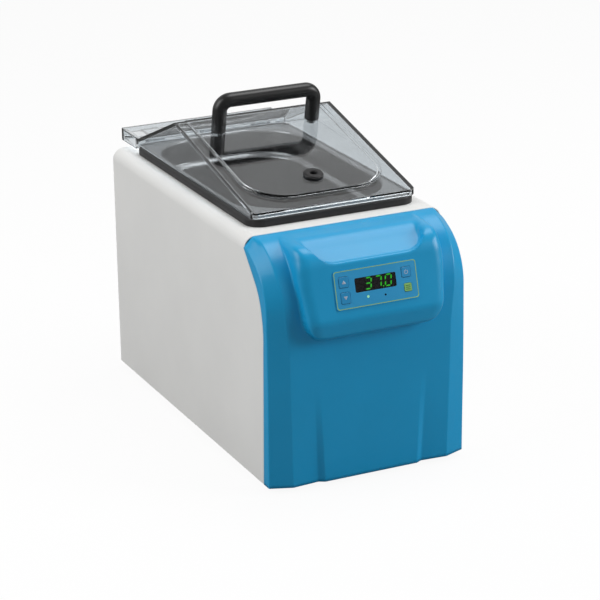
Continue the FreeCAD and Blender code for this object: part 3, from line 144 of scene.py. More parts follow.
# Lighter edges are painted here: partly rubbed paint, partly a painted edge highlight.
rubbed_and_lit = node(rub_and_sheen_group, "ShaderNodeMath", {0: edge, 1: patch}, operation="MULTIPLY")
kept = node(rub_and_sheen_group, "ShaderNodeMath", {0: rubbed_and_lit.outputs["Value"], 1: gin.outputs["Amount"]},
            operation="MULTIPLY")
rub_and_sheen_group.links.new(kept.outputs["Value"], gout.inputs["Mask"])
print("edge wear group:", len(rub_and_sheen_group.nodes), "nodes")

# %% Grain group
grain_group, gin, gout = new_group("grain", [("Scale", 1500.0), ("Mottle Scale", 25.0)],
                                   ["Height", "Mottle"])
place = node(grain_group, "ShaderNodeTexCoord")
fine = noise(grain_group, place.outputs["Object"], gin.outputs["Scale"], 3.0, 0.55)
wide = noise(grain_group, place.outputs["Object"], gin.outputs["Mottle Scale"], 5.0, 0.6)
grain_group.links.new(fine, gout.inputs["Height"])
grain_group.links.new(wide, gout.inputs["Mottle"])
print("grain group:", len(grain_group.nodes), "nodes")

# %% Brushing group
brush_group, gin, gout = new_group("brushing", [("Along", 20.0), ("Across", 2500.0)],
                                   ["Height", "Streak"])
place = node(brush_group, "ShaderNodeTexCoord")
stretch = node(brush_group, "ShaderNodeCombineXYZ", {"X": gin.outputs["Along"],
               "Y": gin.outputs["Across"], "Z": gin.outputs["Across"]})
scaled = node(brush_group, "ShaderNodeVectorMath", {0: place.outputs["Object"],
              1: stretch.outputs["Vector"]}, operation="MULTIPLY")
lines = noise(brush_group, scaled.outputs["Vector"], 1.0, 3.0, 0.6)
broad = noise(brush_group, place.outputs["Object"], 30.0, 4.0, 0.55)
both = node(brush_group, "ShaderNodeMath", {0: lines, 1: broad}, operation="ADD")
half = node(brush_group, "ShaderNodeMath", {0: both.outputs["Value"], 1: 0.5}, operation="MULTIPLY")
brush_group.links.new(lines, gout.inputs["Height"])
brush_group.links.new(half.outputs["Value"], gout.inputs["Streak"])
print("brushing group:", len(brush_group.nodes), "nodes")

# %% [markdown]
# Paint, plastic, rubber and metal are all one Principled shader whose colour, roughness and
# bump vary a little over the surface.  A function builds such a finish from a few numbers,
# so that the differences between the finishes stay easy to read.

# %% Finish function
finishes = {}

def finish(slot, base, rough, rough_vary=0.06, tone=0.05, bump=0.05, scale=1500.0, mottle=25.0,
           rub_and_sheen_amount=0.0, edge_mask_radius=1.0, lit_rubbed_colour=None, metal=0.0, brushed=False, coat=0.0,
           specular=0.5):
    """Opaque finish: base colour mixed with a darker tone by slow noise and with a lighter edge
    colour by the edge mask, partly rubbing and partly a painted edge highlight; roughness is
    rough plus rough_vary times the noise; bump from the grain."""
    material, tree, shader = new_material(slot)
    base = colour(base)
    shader.inputs["Metallic"].default_value = metal
    shader.inputs["Coat Weight"].default_value = coat
    shader.inputs["Coat Roughness"].default_value = 0.12
    shader.inputs["Specular IOR Level"].default_value = specular
    texture = node(tree, "ShaderNodeGroup", node_tree=brush_group if brushed else grain_group)
    if brushed:
        height, vary = texture.outputs["Height"], texture.outputs["Streak"]
    else:
        texture.inputs["Scale"].default_value = scale
        texture.inputs["Mottle Scale"].default_value = mottle
        height, vary = texture.outputs["Height"], texture.outputs["Mottle"]
    darker = tuple(v * (1.0 - tone * 2.0) for v in base[:3]) + (1.0,)
    lighter = tuple(min(v * (1.0 + tone), 1.0) for v in base[:3]) + (1.0,)
    result = mix(tree, remap(tree, vary, 0.3, 0.7), darker, lighter)
    rough_out = remap(tree, vary, 0.3, 0.7, rough - rough_vary, rough + rough_vary)
    if rub_and_sheen_amount:
        mask = node(tree, "ShaderNodeGroup", node_tree=rub_and_sheen_group)
        mask.inputs["Radius"].default_value = edge_mask_radius * MM
        mask.inputs["Amount"].default_value = rub_and_sheen_amount
        # The edge colour is painted lighter: partly rubbing, partly a painted edge highlight.
        pale = tuple(min(v * 1.5 + 0.05, 1.0) for v in base[:3]) + (1.0,)
        shade = colour(lit_rubbed_colour) if lit_rubbed_colour else pale
        result = mix(tree, mask.outputs["Mask"], result, shade)
        polish = node(tree, "ShaderNodeMath", {0: mask.outputs["Mask"], 1: -0.15, 2: rough_out},
                      operation="MULTIPLY_ADD")
        rough_out = polish.outputs["Value"]
    tree.links.new(result, shader.inputs["Base Color"])
    tree.links.new(rough_out, shader.inputs["Roughness"])
    relief = node(tree, "ShaderNodeBump", {"Height": height, "Strength": 1.0,
                  "Distance": bump * MM})
    tree.links.new(relief.outputs["Normal"], shader.inputs["Normal"])
    finishes[slot] = material

# %% [markdown]
# The outside: matt off-white powder paint with its fine orange-peel, satin blue moulding,
# black rubber and the satin black handle.  Edges are painted a little lighter, partly where
# hands rub them and partly as a painted edge highlight.

# %% Outside finishes
finish("housing_white", "#f0f0ee", 0.52, bump=0.03, scale=900.0, tone=0.012, mottle=14.0,
       rub_and_sheen_amount=0.25, lit_rubbed_colour="#f0f0ee")
# The lighter blue at the edges is partly rubbing, partly a painted edge highlight.
finish("cover_blue", "#1aa3da", 0.30, specular=0.38, rough_vary=0.02, bump=0.006,
       scale=2200.0, tone=0.015, rub_and_sheen_amount=0.12, edge_mask_radius=0.8, lit_rubbed_colour="#5cb8e6")
finish("gasket_black", "#242425", 0.45, bump=0.04, scale=700.0, tone=0.12, rub_and_sheen_amount=0.3,
       lit_rubbed_colour="#3a3a3c", specular=0.35)
finish("handle_black", "#0e0e0f", 0.38, rough_vary=0.02, bump=0.004, scale=1500.0,
       tone=0.1, rub_and_sheen_amount=0.05, lit_rubbed_colour="#222224", specular=0.6)
finish("black_plastic", "#1b1b1c", 0.45, bump=0.04, scale=1000.0, tone=0.1, rub_and_sheen_amount=0.3)
finish("label_blue", "#2aa3dc", 0.30, rough_vary=0.03, bump=0.008, scale=2500.0, tone=0.02,
       coat=0.3)
# The keys' lighter edges are partly rubbing, partly a painted edge highlight.
finish("key_blue", "#2098d2", 0.30, bump=0.01, scale=2500.0, tone=0.03, rub_and_sheen_amount=0.8,
       edge_mask_radius=0.4, lit_rubbed_colour="#7cc4e6", coat=0.3)
finish("key_lime", "#8fcb70", 0.32, bump=0.01, scale=2500.0, tone=0.04, rub_and_sheen_amount=0.6,
       edge_mask_radius=0.4, lit_rubbed_colour="#c2e69c", coat=0.3)
print("outside finishes:", len(finishes))

# %% Metals
finish("tank_steel", "#918f8e", 0.26, rough_vary=0.015, bump=0.002, tone=0.02, metal=1.0,
       brushed=True)
finish("zinc_steel", "#a9acb2", 0.42, bump=0.01, scale=600.0, tone=0.08, metal=1.0,
       rub_and_sheen_amount=0.4)
finish("stainless", "#c2c2c2", 0.30, bump=0.004, tone=0.06, metal=1.0, brushed=True)
finish("core_steel", "#6a6a6e", 0.55, bump=0.02, tone=0.15, metal=0.8, brushed=True)
finish("heatsink_aluminium", "#c9cacc", 0.36, bump=0.01, tone=0.05, metal=1.0, brushed=True)
finish("brass_plated", "#cdb877", 0.30, bump=0.006, scale=900.0, tone=0.08, metal=1.0,
       rub_and_sheen_amount=0.3)
print("finishes so far:", len(finishes))

# %% Inside finishes
finish("module_black", "#0a0a0b", 0.55, bump=0.01, tone=0.1, specular=0.08)
finish("led_dark", "#0c0c0d", 0.25, bump=0.004, tone=0.1, specular=0.15)
finish("board_green", "#1e6a35", 0.38, bump=0.02, scale=400.0, tone=0.15, mottle=120.0,
       rub_and_sheen_amount=0.4)
finish("foam_grey", "#b9b8b0", 0.95, bump=0.5, scale=700.0, tone=0.12, mottle=200.0)
finish("silicone_orange", "#b4552b", 0.6, bump=0.06, scale=500.0, tone=0.08, rub_and_sheen_amount=0.2)
finish("lead_black", "#1a1a1a", 0.45, bump=0.02, tone=0.1)
finish("lead_grey", "#8b8b8d", 0.45, bump=0.02, tone=0.08)
finish("terminal_green", "#2f8f4d", 0.42, bump=0.03, tone=0.08, rub_and_sheen_amount=0.4)
finish("capacitor_blue", "#23406e", 0.35, bump=0.01, tone=0.06, coat=0.4)
finish("relay_white", "#dcdcd8", 0.45, bump=0.02, tone=0.04, rub_and_sheen_amount=0.3)
print("finishes so far:", len(finishes))

# %% [markdown]
# Clear pieces bend light, so they use the transmission of the Principled shader with the
# refractive index of their plastic.  A real clear lid lets daylight through to the tank, but a
# path tracer treats its shadow as solid, so shadow rays see a transparent shader instead.

# %% Clear finishes
def clear(slot, base, rough, index, shadow, bump=0.02, specular=0.5):
    """Clear finish: transmission with a faint bump; shadow rays pass, tinted by shadow."""
    material, tree, shader = new_material(slot)
    shader.inputs["Base Color"].default_value = colour(base)
    shader.inputs["IOR"].default_value = index
    shader.inputs["Transmission Weight"].default_value = 1.0
    shader.inputs["Specular IOR Level"].default_value = specular
    texture = node(tree, "ShaderNodeGroup", node_tree=grain_group)
    texture.inputs["Scale"].default_value = 60.0
    texture.inputs["Mottle Scale"].default_value = 18.0
    smear = remap(tree, texture.outputs["Mottle"], 0.35, 0.75, rough, rough * 2.2)
    tree.links.new(smear, shader.inputs["Roughness"])
    relief = node(tree, "ShaderNodeBump", {"Height": texture.outputs["Height"], "Strength": 1.0,
                  "Distance": bump * MM})
    tree.links.new(relief.outputs["Normal"], shader.inputs["Normal"])
    path = node(tree, "ShaderNodeLightPath")
    through = node(tree, "ShaderNodeBsdfTransparent", {"Color": shadow})
    mixed = node(tree, "ShaderNodeMixShader", {0: path.outputs["Is Shadow Ray"],
                 1: shader.outputs["BSDF"], 2: through.outputs["BSDF"]})
    tree.links.new(mixed.outputs["Shader"], tree.nodes["Material Output"].inputs["Surface"])
    finishes[slot] = material

clear("lid_clear", "#dfe4e7", 0.012, 1.49, (0.80, 0.82, 0.84, 1.0))
clear("window_dark", "#606066", 0.006, 1.49, (0.15, 0.15, 0.15, 1.0), bump=0.001,
      specular=0.0)
clear("fuse_glass", "#eef2f2", 0.02, 1.50, (0.9, 0.9, 0.9, 1.0))
print("clear finishes made")

# %% [markdown]
# The display segments and the heating lamp give light of their own.  A little noise keeps
# each bar from looking like flat paint.

# %% Lit finishes
def lit(slot, base, glow, strength):
    """Lit finish: emission whose colour runs between two tones of glow by fine noise."""
    material, tree, shader = new_material(slot)
    shader.inputs["Base Color"].default_value = colour(base)
    shader.inputs["Roughness"].default_value = 0.35
    shader.inputs["Emission Strength"].default_value = strength
    texture = node(tree, "ShaderNodeGroup", node_tree=grain_group)
    texture.inputs["Scale"].default_value = 900.0
    glow = colour(glow)
    dim = tuple(v * 0.75 for v in glow[:3]) + (1.0,)
    mixed = mix(tree, remap(tree, texture.outputs["Height"], 0.35, 0.6), dim, glow)
    tree.links.new(mixed, shader.inputs["Emission Color"])
    finishes[slot] = material

lit("digit_green", "#1d6d22", "#3dff30", 4.2)
lit("led_green", "#8fd8ab", "#a8f5c6", 0.35)
print("lit finishes made")

# %% Give every CAD node its finish
slots = {}
for name, piece in nodes.items():
    slots[name] = piece.data.materials[0].name
    piece.data.materials[0] = finishes[slots[name]]
print("finishes used:", sorted(set(slots.values())))

# %% [markdown]
# New pieces are numpy surfaces.  A grid of points becomes a mesh of quads; closing the grid in
# one direction makes a ring, and two caps close its ends.

# %% Mesh helpers
def finish_piece(piece, body, slot, *replaced, smooth_angle=None):
    """Gives a new piece its finish and body, and hides the CAD nodes it stands for."""
    piece.data.materials.append(finishes[slot])
    piece.data.shade_smooth()
    if smooth_angle is not None:
        piece.data.set_sharp_from_angle(angle=math.radians(smooth_angle))
    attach(piece, body)
    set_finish(piece, slot)
    if replaced:
        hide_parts(*replaced)
    return piece


def mesh_object(name, points, faces):
    """Object from an array of points in metres and lists of face indices."""
    mesh = bpy.data.meshes.new(name)
    mesh.from_pydata(points, [], faces)
    mesh.update()
    piece = bpy.data.objects.new(name, mesh)
    bpy.context.scene.collection.objects.link(piece)
    return piece


def grid_faces(rows, columns, wrap_rows=False, wrap_columns=False):
    """Quads of a rows by columns grid of points numbered row by row."""
    i = np.arange(rows if wrap_rows else rows - 1)[:, None]
    j = np.arange(columns if wrap_columns else columns - 1)[None, :]
    a = i * columns + j
    b = i * columns + (j + 1) % columns
    c = ((i + 1) % rows) * columns + (j + 1) % columns
    d = ((i + 1) % rows) * columns + j
    return np.stack([a, b, c, d], axis=-1).reshape(-1, 4)


def grid_object(name, grid, wrap_rows=False, wrap_columns=True):
    """Object from a grid of points in millimetres, by default closed along its columns."""
    rows, columns = grid.shape[:2]
    return mesh_object(name, (grid.reshape(-1, 3) * MM).tolist(),
                       grid_faces(rows, columns, wrap_rows, wrap_columns).tolist())


def tidy(piece):
    """Merges doubled points, which closes seams and poles, and turns all faces outwards."""
    work = bmesh.new()
    work.from_mesh(piece.data)
    bmesh.ops.remove_doubles(work, verts=work.verts, dist=1e-6)
    bmesh.ops.recalc_face_normals(work, faces=work.faces)
    work.to_mesh(piece.data)
    work.free()
    return piece

# %% Smooth joining of two shapes
def smax(a, b, k):
    """Larger of a and b, rounded where they are within k: adds (k - |a - b|) squared over 4k."""
    h = np.maximum(k - np.abs(a - b), 0.0)
    return np.maximum(a, b) + h * h / (4.0 * k)


def smin(a, b, k):
    """Smaller of a and b with the same rounding."""
    return -smax(-a, -b, k)


def smooth_step(t):
    """Eases from 0 to 1: 3t squared minus 2t cubed."""
    t = np.clip(t, 0.0, 1.0)
    return t * t * (3.0 - 2.0 * t)


def rounded_path(corners, steps=6, closed=False):
    """Samples straight runs with rounded corners; a corner (a, b, r) becomes steps + 1 points of
    an arc of radius r that touches both runs."""
    out = []
    count = len(corners)
    for i, (a, b, r) in enumerate(corners):
        here = np.array([a, b], float)
        if r <= 0 or (not closed and i in (0, count - 1)):
            out.append(here[None])
            continue
        back = np.array(corners[i - 1][:2], float) - here
        ahead = np.array(corners[(i + 1) % count][:2], float) - here
        back, ahead = back / np.linalg.norm(back), ahead / np.linalg.norm(ahead)
        half = np.arccos(np.clip(back @ ahead, -1, 1)) / 2
        middle = (back + ahead) / np.linalg.norm(back + ahead)
        centre = here + middle * r / np.sin(half)
        start, stop = here + back * r / np.tan(half), here + ahead * r / np.tan(half)
        u, w = start - centre, stop - centre
        turn = np.arctan2(u[0] * w[1] - u[1] * w[0], u @ w)
        t = np.linspace(0, turn, steps + 1)[:, None]
        side = np.array([-u[1], u[0]])
        out.append(centre + u * np.cos(t) + side * np.sin(t))
    return np.concatenate(out)

print("points of a rounded right angle:", len(rounded_path([(0, 0, 0), (1, 0, 0.3), (1, 1, 0)])))

# %% [markdown]
# The front cover is one injection moulding: a sheet that bends over the top edge, a raised pod
# for the controls, a finger scoop cut into the pod and shallow ridges down both sides.  Its
# shape is easiest to say as a field, a number that is negative inside the moulding, because
# fields can be joined and cut with soft fillets just as a mould maker blends them.  From each
# point of the plain bend a ray goes outwards, and the surface is where the field is zero.

# %% Cover anchors, all from the CAD boxes, in millimetres
low = np.array(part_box("front_cover")[0]) / MM
housing_low, housing_high = [np.array(v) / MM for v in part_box("outer_housing")]
HALF = housing_high[0]
TOP = housing_high[2]
FOOT = housing_low[2]
NOSE = 15.29                    # how far the pod stands out
FRONT = low[1] + NOSE           # flat front behind the nose of the pod
BEND = 55.0                     # radius of the bend
AXIS_Y, AXIS_Z = FRONT + BEND, TOP - BEND
TILT = math.asin(-frame["joints"][1]["axis"][2])    # the keys move square to the face
FACE_V = np.array([0.0, math.sin(TILT), math.cos(TILT)])
FACE_W = np.array([0.0, -math.cos(TILT), math.sin(TILT)])


def spread(name, axis):
    """Lowest and highest place of a CAD node along a direction: the dot product, in mm."""
    flat = np.zeros(len(nodes[name].data.vertices) * 3, np.float32)
    nodes[name].data.vertices.foreach_get("co", flat)
    along = flat.reshape(-1, 3).astype(float) @ np.asarray(axis) / MM
    return along.min(), along.max()

face_level = spread("control_label", FACE_W)[0]
face_middle = sum(spread("control_label", FACE_V)) / 2
print(f"half width {HALF:.1f}, top {TOP:.1f}, front {FRONT:.1f},",
      f"face leans {math.degrees(TILT):.1f}")

# %% Cover field, in millimetres back from the flat front and up from the top
POD = [(51.0, -1.0), (0.5, -2.4), (-15.5, -61.4), (-11.6, -76.2), (9.0, -83.8)]
FACE_BLEND, BEVEL_BLEND, UNDER_BLEND = 16.0, 1.6, 3.0   # roundings of the pod's side view
POD_IN = 24.0                   # the pod's side, in from the side of the housing
POD_FOOT, POD_ROUND = -82.2, 26.0                       # lower edge and corners of its plan
RIDGE_Z = [-205.8, -127.0, -84.0, -58.0, -45.0, -33.0, -23.0]
RIDGE_X = HALF - np.array([19.0, 17.2, 16.4, 14.0, 12.9, 11.6, 10.4])
VALLEY_IN, VALLEY_LEAN = 42.7, 7.0
STEP_WIDE, STEP_DEEP, RISE, FACET = 5.0, 2.8, 1.8, 7.2  # the relief from the middle outwards
CHAMFER = 7.8                   # on the long top edges, where the relief ends
EDGE_BLEND = 0.9
SCOOP_LIP_Y, SCOOP_LIP_Z = -3.3, -17.1
SCOOP_HALF, SCOOP_ROUND = HALF - 38.1, 22.0
RAMP = math.radians(24.6)       # the scoop rises from its lip as a ramp, then steepens
SCOOP_Y = np.linspace(-60.0, 60.0, 241)
EASE = 25                       # points averaged where the ramp steepens
scoop_line = np.interp(SCOOP_Y, [-60.0, 18.8, 60.0], [-43.1, -7.0, 34.2])
scoop_line = np.convolve(np.pad(scoop_line, EASE // 2, mode="reflect", reflect_type="odd"),
                         np.ones(EASE) / EASE, mode="valid")
scoop_slope = np.gradient(scoop_line, SCOOP_Y)


def outside_of(points, a, b):
    """Distance in front of the line through two points of the pod's side view."""
    (y0, z0), (y1, z1) = points[a], points[b]
    length = math.hypot(y1 - y0, z1 - z0)
    return lambda y, z: ((z1 - z0) * (y - y0) - (y1 - y0) * (z - z0)) / length


def side_relief(x, z):
    """How far the front lies back at x: zero on the middle panel, a step down to the valley, a
    slow rise to the ridge and a facet to the side; the valley dies out above the middle.  The
    mean of five places close together rounds the creases a little."""
    up = (z - FOOT) / (AXIS_Z - FOOT)
    fade = 1.0 - smooth_step(up / 0.62)
    ridge_x = np.interp(z - TOP, RIDGE_Z, RIDGE_X)
    valley_x = HALF - VALLEY_IN + VALLEY_LEAN * np.clip(up, 0, 1)
    total = 0.0
    for shift in (-0.4, -0.2, 0.0, 0.2, 0.4):
        a = np.abs(x) + shift
        step = np.clip((a - (valley_x - STEP_WIDE)) / STEP_WIDE, 0, 1) * STEP_DEEP * fade
        rise = np.clip((a - valley_x) / (ridge_x - valley_x), 0, 1) * RISE * fade
        facet = np.clip((a - ridge_x) / (HALF - ridge_x), 0, None)
        total = total + step - rise + facet * (FACET + 2.0 * smooth_step(up - 0.6))
    return total / 5.0


def cover_field(x, y, z):
    """Negative inside the cover: the bend with its relief, joined softly to the pod, minus the
    scoop."""
    bend = np.where(y > AXIS_Y, z - TOP, np.where(z < AXIS_Z, FRONT - y,
                    np.hypot(y - AXIS_Y, z - AXIS_Z) - BEND))
    near_top = smooth_step((y - (AXIS_Y - 22.0)) / 14.0)
    chamfer = np.clip(np.abs(x) - (HALF - CHAMFER), 0.0, None)
    relief = side_relief(x, z) * (1 - near_top) + chamfer * near_top
    body = smax(bend + relief, np.abs(x) - HALF, EDGE_BLEND)
    yr, zr = y - FRONT, z - TOP
    top, face = outside_of(POD, 0, 1)(yr, zr), outside_of(POD, 1, 2)(yr, zr)
    bevel, under = outside_of(POD, 2, 3)(yr, zr), outside_of(POD, 3, 4)(yr, zr)
    profile = smax(smax(smax(top, face, FACE_BLEND), bevel, BEVEL_BLEND), under, UNDER_BLEND)
    half = HALF - POD_IN - np.interp(zr, [-78.0, -30.0], [6.0, 0.0])
    plan = smax(np.abs(x) - half, POD_FOOT - zr, POD_ROUND)
    pod = smax(profile, plan, np.interp(zr, [-80.0, -60.0, -12.0, -2.0], [2.5, 10.0, 12.0, 8.0]))
    join = np.interp(zr, [-14.0, -2.0], [2.0, 0.6])
    whole = smin(body, pod, join)
    floor = np.interp(yr, SCOOP_Y, scoop_line)
    slope = np.interp(yr, SCOOP_Y, scoop_slope)
    above = (zr - floor) / np.sqrt(1.0 + slope ** 2)
    along = (yr - SCOOP_LIP_Y) * math.cos(RAMP) + (zr - SCOOP_LIP_Z) * math.sin(RAMP)
    wide = SCOOP_ROUND - np.hypot(np.maximum(np.abs(x) - SCOOP_HALF + SCOOP_ROUND, 0.0),
                                  np.maximum(SCOOP_ROUND - along, 0.0))
    return smax(whole, smin(above, wide, 4.0), np.interp(yr, [4.0, 20.0], [1.0, 6.0]))

print("field at the middle of the face:",
      round(float(cover_field(0.0, FRONT - 9.0, TOP - 37.4)), 2))

# %% Cover surface
REACH, HALVINGS = 34.0, 34      # length of a ray each way, and how often it is halved


def seam_y(z):
    """Where the cover meets the housing at a height: a smooth curve, then a straight line."""
    zr = z - TOP
    knots = np.array([-205.8, -75.4, -60.3, -39.8, -24.0, -10.2, -4.0])
    values = np.array([18.2, 13.8, 15.6, 22.8, 35.8, 48.4, 54.0])
    slopes = np.gradient(values, knots)
    slopes[0] = slopes[1] = (values[1] - values[0]) / (knots[1] - knots[0])
    i = np.clip(np.searchsorted(knots, zr) - 1, 0, len(knots) - 2)
    h = knots[i + 1] - knots[i]
    t = np.clip((zr - knots[i]) / h, 0, 1)
    return FRONT + (values[i] * (2 * t**3 - 3 * t**2 + 1) + slopes[i] * h * (t**3 - 2 * t**2 + t)
                    + values[i + 1] * (3 * t**2 - 2 * t**3) + slopes[i + 1] * h * (t**3 - t**2))


def cover_surface():
    """Grid of (station down the bend, x): ray from the plain bend outwards to the zero of the
    field, found by halving the interval; two strips close the sides to the seam."""
    start = math.asin(6.6 / BEND)
    turn = np.linspace(start, math.pi / 2, 92)
    push = (turn - start) * (math.pi / 2) / (math.pi / 2 - start)
    by, bz = AXIS_Y - BEND * np.sin(turn), AXIS_Z + BEND * np.cos(turn)
    down = np.concatenate([np.arange(AXIS_Z - 1.0, TOP - 78.0, -1.0),
                           np.arange(TOP - 78.0, TOP - 88.0, -0.5),
                           np.linspace(TOP - 88.0, FOOT, 40)])
    by = np.concatenate([by, np.full(len(down), FRONT)])
    bz = np.concatenate([bz, down])
    push = np.concatenate([push, np.full(len(down), math.pi / 2)])
    half_x = np.concatenate([np.linspace(0, 28, 12), np.arange(29.0, 54, 0.8),
                             np.arange(54.6, 63, 0.6), np.arange(63.3, 70, 0.3),
                             np.arange(70.5, 83, 0.5), np.arange(83.8, 89, 0.8),
                             [89.3, 89.7, 90.0, 90.2, 90.35, 90.44, 90.48]])
    half_x = half_x * HALF / 90.5
    x = np.concatenate([-half_x[::-1], half_x[1:]])
    gx = np.broadcast_to(x[None], (len(by), len(x)))
    oy, oz = -np.sin(push)[:, None], np.cos(push)[:, None]
    near, far = np.full(gx.shape, -REACH), np.full(gx.shape, REACH)
    for _ in range(HALVINGS):
        middle = (near + far) / 2
        inside = cover_field(gx, by[:, None] + oy * middle, bz[:, None] + oz * middle) < 0
        near, far = np.where(inside, middle, near), np.where(inside, far, middle)
    grid = np.stack([gx, by[:, None] + oy * near, bz[:, None] + oz * near], axis=-1)
    sides = []
    for edge in (0, -1):
        rim = grid[:, edge]
        across = np.linspace(0, 1, 7)[1:, None]
        seam = seam_y(rim[:, 2])
        strip = np.stack([np.full((6, len(seam)), math.copysign(HALF, rim[0, 0])),
                          rim[:, 1] + (np.maximum(seam, rim[:, 1] + 0.05) - rim[:, 1]) * across,
                          np.broadcast_to(rim[:, 2], (6, len(seam)))], axis=-1)
        sides.append(np.swapaxes(strip, 0, 1))
    return np.concatenate([sides[0][:, ::-1], grid, sides[1]], axis=1)

cover_grid = cover_surface()
print("cover grid:", cover_grid.shape, "lowest y", round(float(cover_grid[..., 1].min()), 2))

# %% [markdown]
# The control panel sits in a window of the pod, so the quads behind the label are left out.
# The moulding has an even wall, which the Solidify modifier gives it.

# %% Cover piece
WINDOW_X, WINDOW_V = 35.5, 14.2     # half sizes of the window behind the label
COVER_WALL = 2.4
rows, columns = cover_grid.shape[:2]
points = cover_grid.reshape(-1, 3)
quads = grid_faces(rows, columns)
centres = points[quads].mean(axis=1)
over_v = centres @ FACE_V - face_middle
behind = ((np.abs(centres[:, 0]) < WINDOW_X) & (np.abs(over_v) < WINDOW_V)
          & (centres[:, 1] < FRONT - 2.0))
used, renumbered = np.unique(quads[~behind], return_inverse=True)
cover = mesh_object("front_moulding", (points[used] * MM).tolist(),
                    renumbered.reshape(-1, 4)[:, ::-1].tolist())
wall = cover.modifiers.new("wall", "SOLIDIFY")
wall.thickness, wall.offset = COVER_WALL * MM, -1.0
finish_piece(cover, "base", "cover_blue", "front_cover", smooth_angle=50)
normal = cover.data.polygons[len(cover.data.polygons) // 2].normal
print("cover quads:", len(cover.data.polygons), "a front face looks towards y", round(normal.y, 2))

# %% [markdown]
# The tank, its gasket and the grommet are all one profile carried round a closed ring.  A
# rounded rectangle is walked as corner centres plus a radius, so growing the radius keeps
# every wall parallel.

# %% Rings and profiles
def rounded_ring(half_x, half_y, radius, arc=14, side=16):
    """Corner centres and unit directions once round a rounded rectangle: on an arc the direction
    turns about its centre, on a side the centre slides and the direction stays."""
    sx, sy = half_x - radius, half_y - radius
    corner = np.array([(sx, sy), (-sx, sy), (-sx, -sy), (sx, -sy)], float)
    centres, turns = [], []
    for k in range(4):
        angle = np.linspace(k, k + 1, arc + 1) * math.pi / 2
        slide = np.linspace(0, 1, side + 1)[1:-1, None]
        centres += [np.repeat(corner[k][None], arc + 1, 0),
                    corner[k] + (corner[(k + 1) % 4] - corner[k]) * slide]
        turns += [angle, np.full(side - 1, (k + 1) * math.pi / 2)]
    turns = np.concatenate(turns)
    return np.concatenate(centres), np.stack([np.cos(turns), np.sin(turns)], -1)


def carried(ring, radius, profile, middle_y=0.0):
    """Points of a profile (grow, height) carried round a ring: centre plus (radius + grow) times
    the direction, at the height."""
    centres, ways = ring
    plan = centres[None] + ways[None] * (radius + profile[:, 0])[:, None, None]
    tall = np.broadcast_to(profile[:, 1][:, None, None], plan.shape[:2] + (1,))
    return np.concatenate([plan + np.array([0.0, middle_y]), tall], axis=-1)

# %% [markdown]
# The tank is drawn from one sheet of stainless steel: a flat flange, a rolled rim, a straight
# wall, a ledge and a deep well with a rounded floor.  The press leaves every corner round,
# and it is those roundings that catch the light.

# %% Tank
tank_low, tank_high = [np.array(v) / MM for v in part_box("tank")]
RIM = tank_high[2]
FLANGE_Y = (tank_low[1] + tank_high[1]) / 2
flange_x, flange_y = tank_high[0], (tank_high[1] - tank_low[1]) / 2
FLANGE_SIDE, FLANGE_BEFORE, FLANGE_BEHIND = 6.3, 8.7, 5.1
OPEN_ROUND, FLANGE_ROUND = 45.0, 10.0       # corners of the opening and of the flange
WELL = 129.0
TANK_SHEET = 0.9
open_x = flange_x - FLANGE_SIDE
open_y = flange_y - (FLANGE_BEFORE + FLANGE_BEHIND) / 2
OPEN_Y = FLANGE_Y + (FLANGE_BEFORE - FLANGE_BEHIND) / 2
opening = rounded_ring(open_x, open_y, OPEN_ROUND)
flange = rounded_ring(flange_x, flange_y, FLANGE_ROUND)
wall_path = rounded_path([(2.4, 0, 0), (0, 0, 2.3), (0, -22.0, 3.2), (-3.5, -25.0, 2.6),
                          (-3.5, -WELL, 12.0), (-22.0, -WELL, 0)], steps=7)
wall_path[:, 1] += RIM
well = carried(opening, OPEN_ROUND, wall_path, OPEN_Y)
edge = carried(flange, FLANGE_ROUND, np.array([(0.0, RIM)]), FLANGE_Y)[0]
share = np.linspace(0, 1, 4)[:-1, None, None]
shelf = edge[None] * (1 - share) + well[0][None] * share
middle = np.array([0.0, OPEN_Y, RIM - 129.6])       # the floor falls a little to its middle
share = np.linspace(0, 1, 9)[1:, None, None]
bottom = well[-1][None] * (1 - share) + middle * share
tank_grid = np.concatenate([shelf, well, bottom])
rows, columns = tank_grid.shape[:2]
tank = grid_object("bath_tank", tank_grid)
tidy(tank)
if tank.data.polygons[columns // 2].normal.z < 0:
    tank.data.flip_normals()
wall = tank.modifiers.new("sheet", "SOLIDIFY")
wall.thickness, wall.offset = TANK_SHEET * MM, -1.0
finish_piece(tank, "base", "tank_steel", "tank", smooth_angle=50)
print("tank:", rows, "rows of", columns, "points; flange looks",
      round(tank.data.polygons[0].normal.z, 2))

# %% Gasket
GASKET_ROUND = 14.0
gasket_low, gasket_high = [np.array(v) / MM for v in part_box("tank_gasket")]
gasket_x, gasket_y = gasket_high[0], (gasket_high[1] - gasket_low[1]) / 2
lip = gasket_x - flange_x
section = rounded_path([(0, gasket_low[2], 0.5), (0, gasket_high[2], 2.2),
                        (-lip, gasket_high[2], 0.4), (-lip, RIM - 1.0, 0.3),
                        (-7.0, RIM - 1.0, 0.3), (-7.0, gasket_low[2], 0.3)], steps=5, closed=True)
gasket_grid = carried(rounded_ring(gasket_x, gasket_y, GASKET_ROUND), GASKET_ROUND, section,
                      FLANGE_Y)
gasket = grid_object("gasket_band", gasket_grid, wrap_rows=True)
finish_piece(tidy(gasket), "base", "gasket_black", "tank_gasket", smooth_angle=60)
print("gasket:", gasket_grid.shape[0], "by", gasket_grid.shape[1])

# %% [markdown]
# The lid, the housing and several small mouldings already have the right shape in CAD, but
# real edges are never perfectly sharp.  A copy of each is merged, its flat triangles are
# joined, and a Bevel modifier eases the edges so that they catch a thin highlight.  Weighted
# normals then keep the large faces flat, which matters most where light passes through them.
# The lid keeps its triangles, because its joined faces mirrored like polished metal.

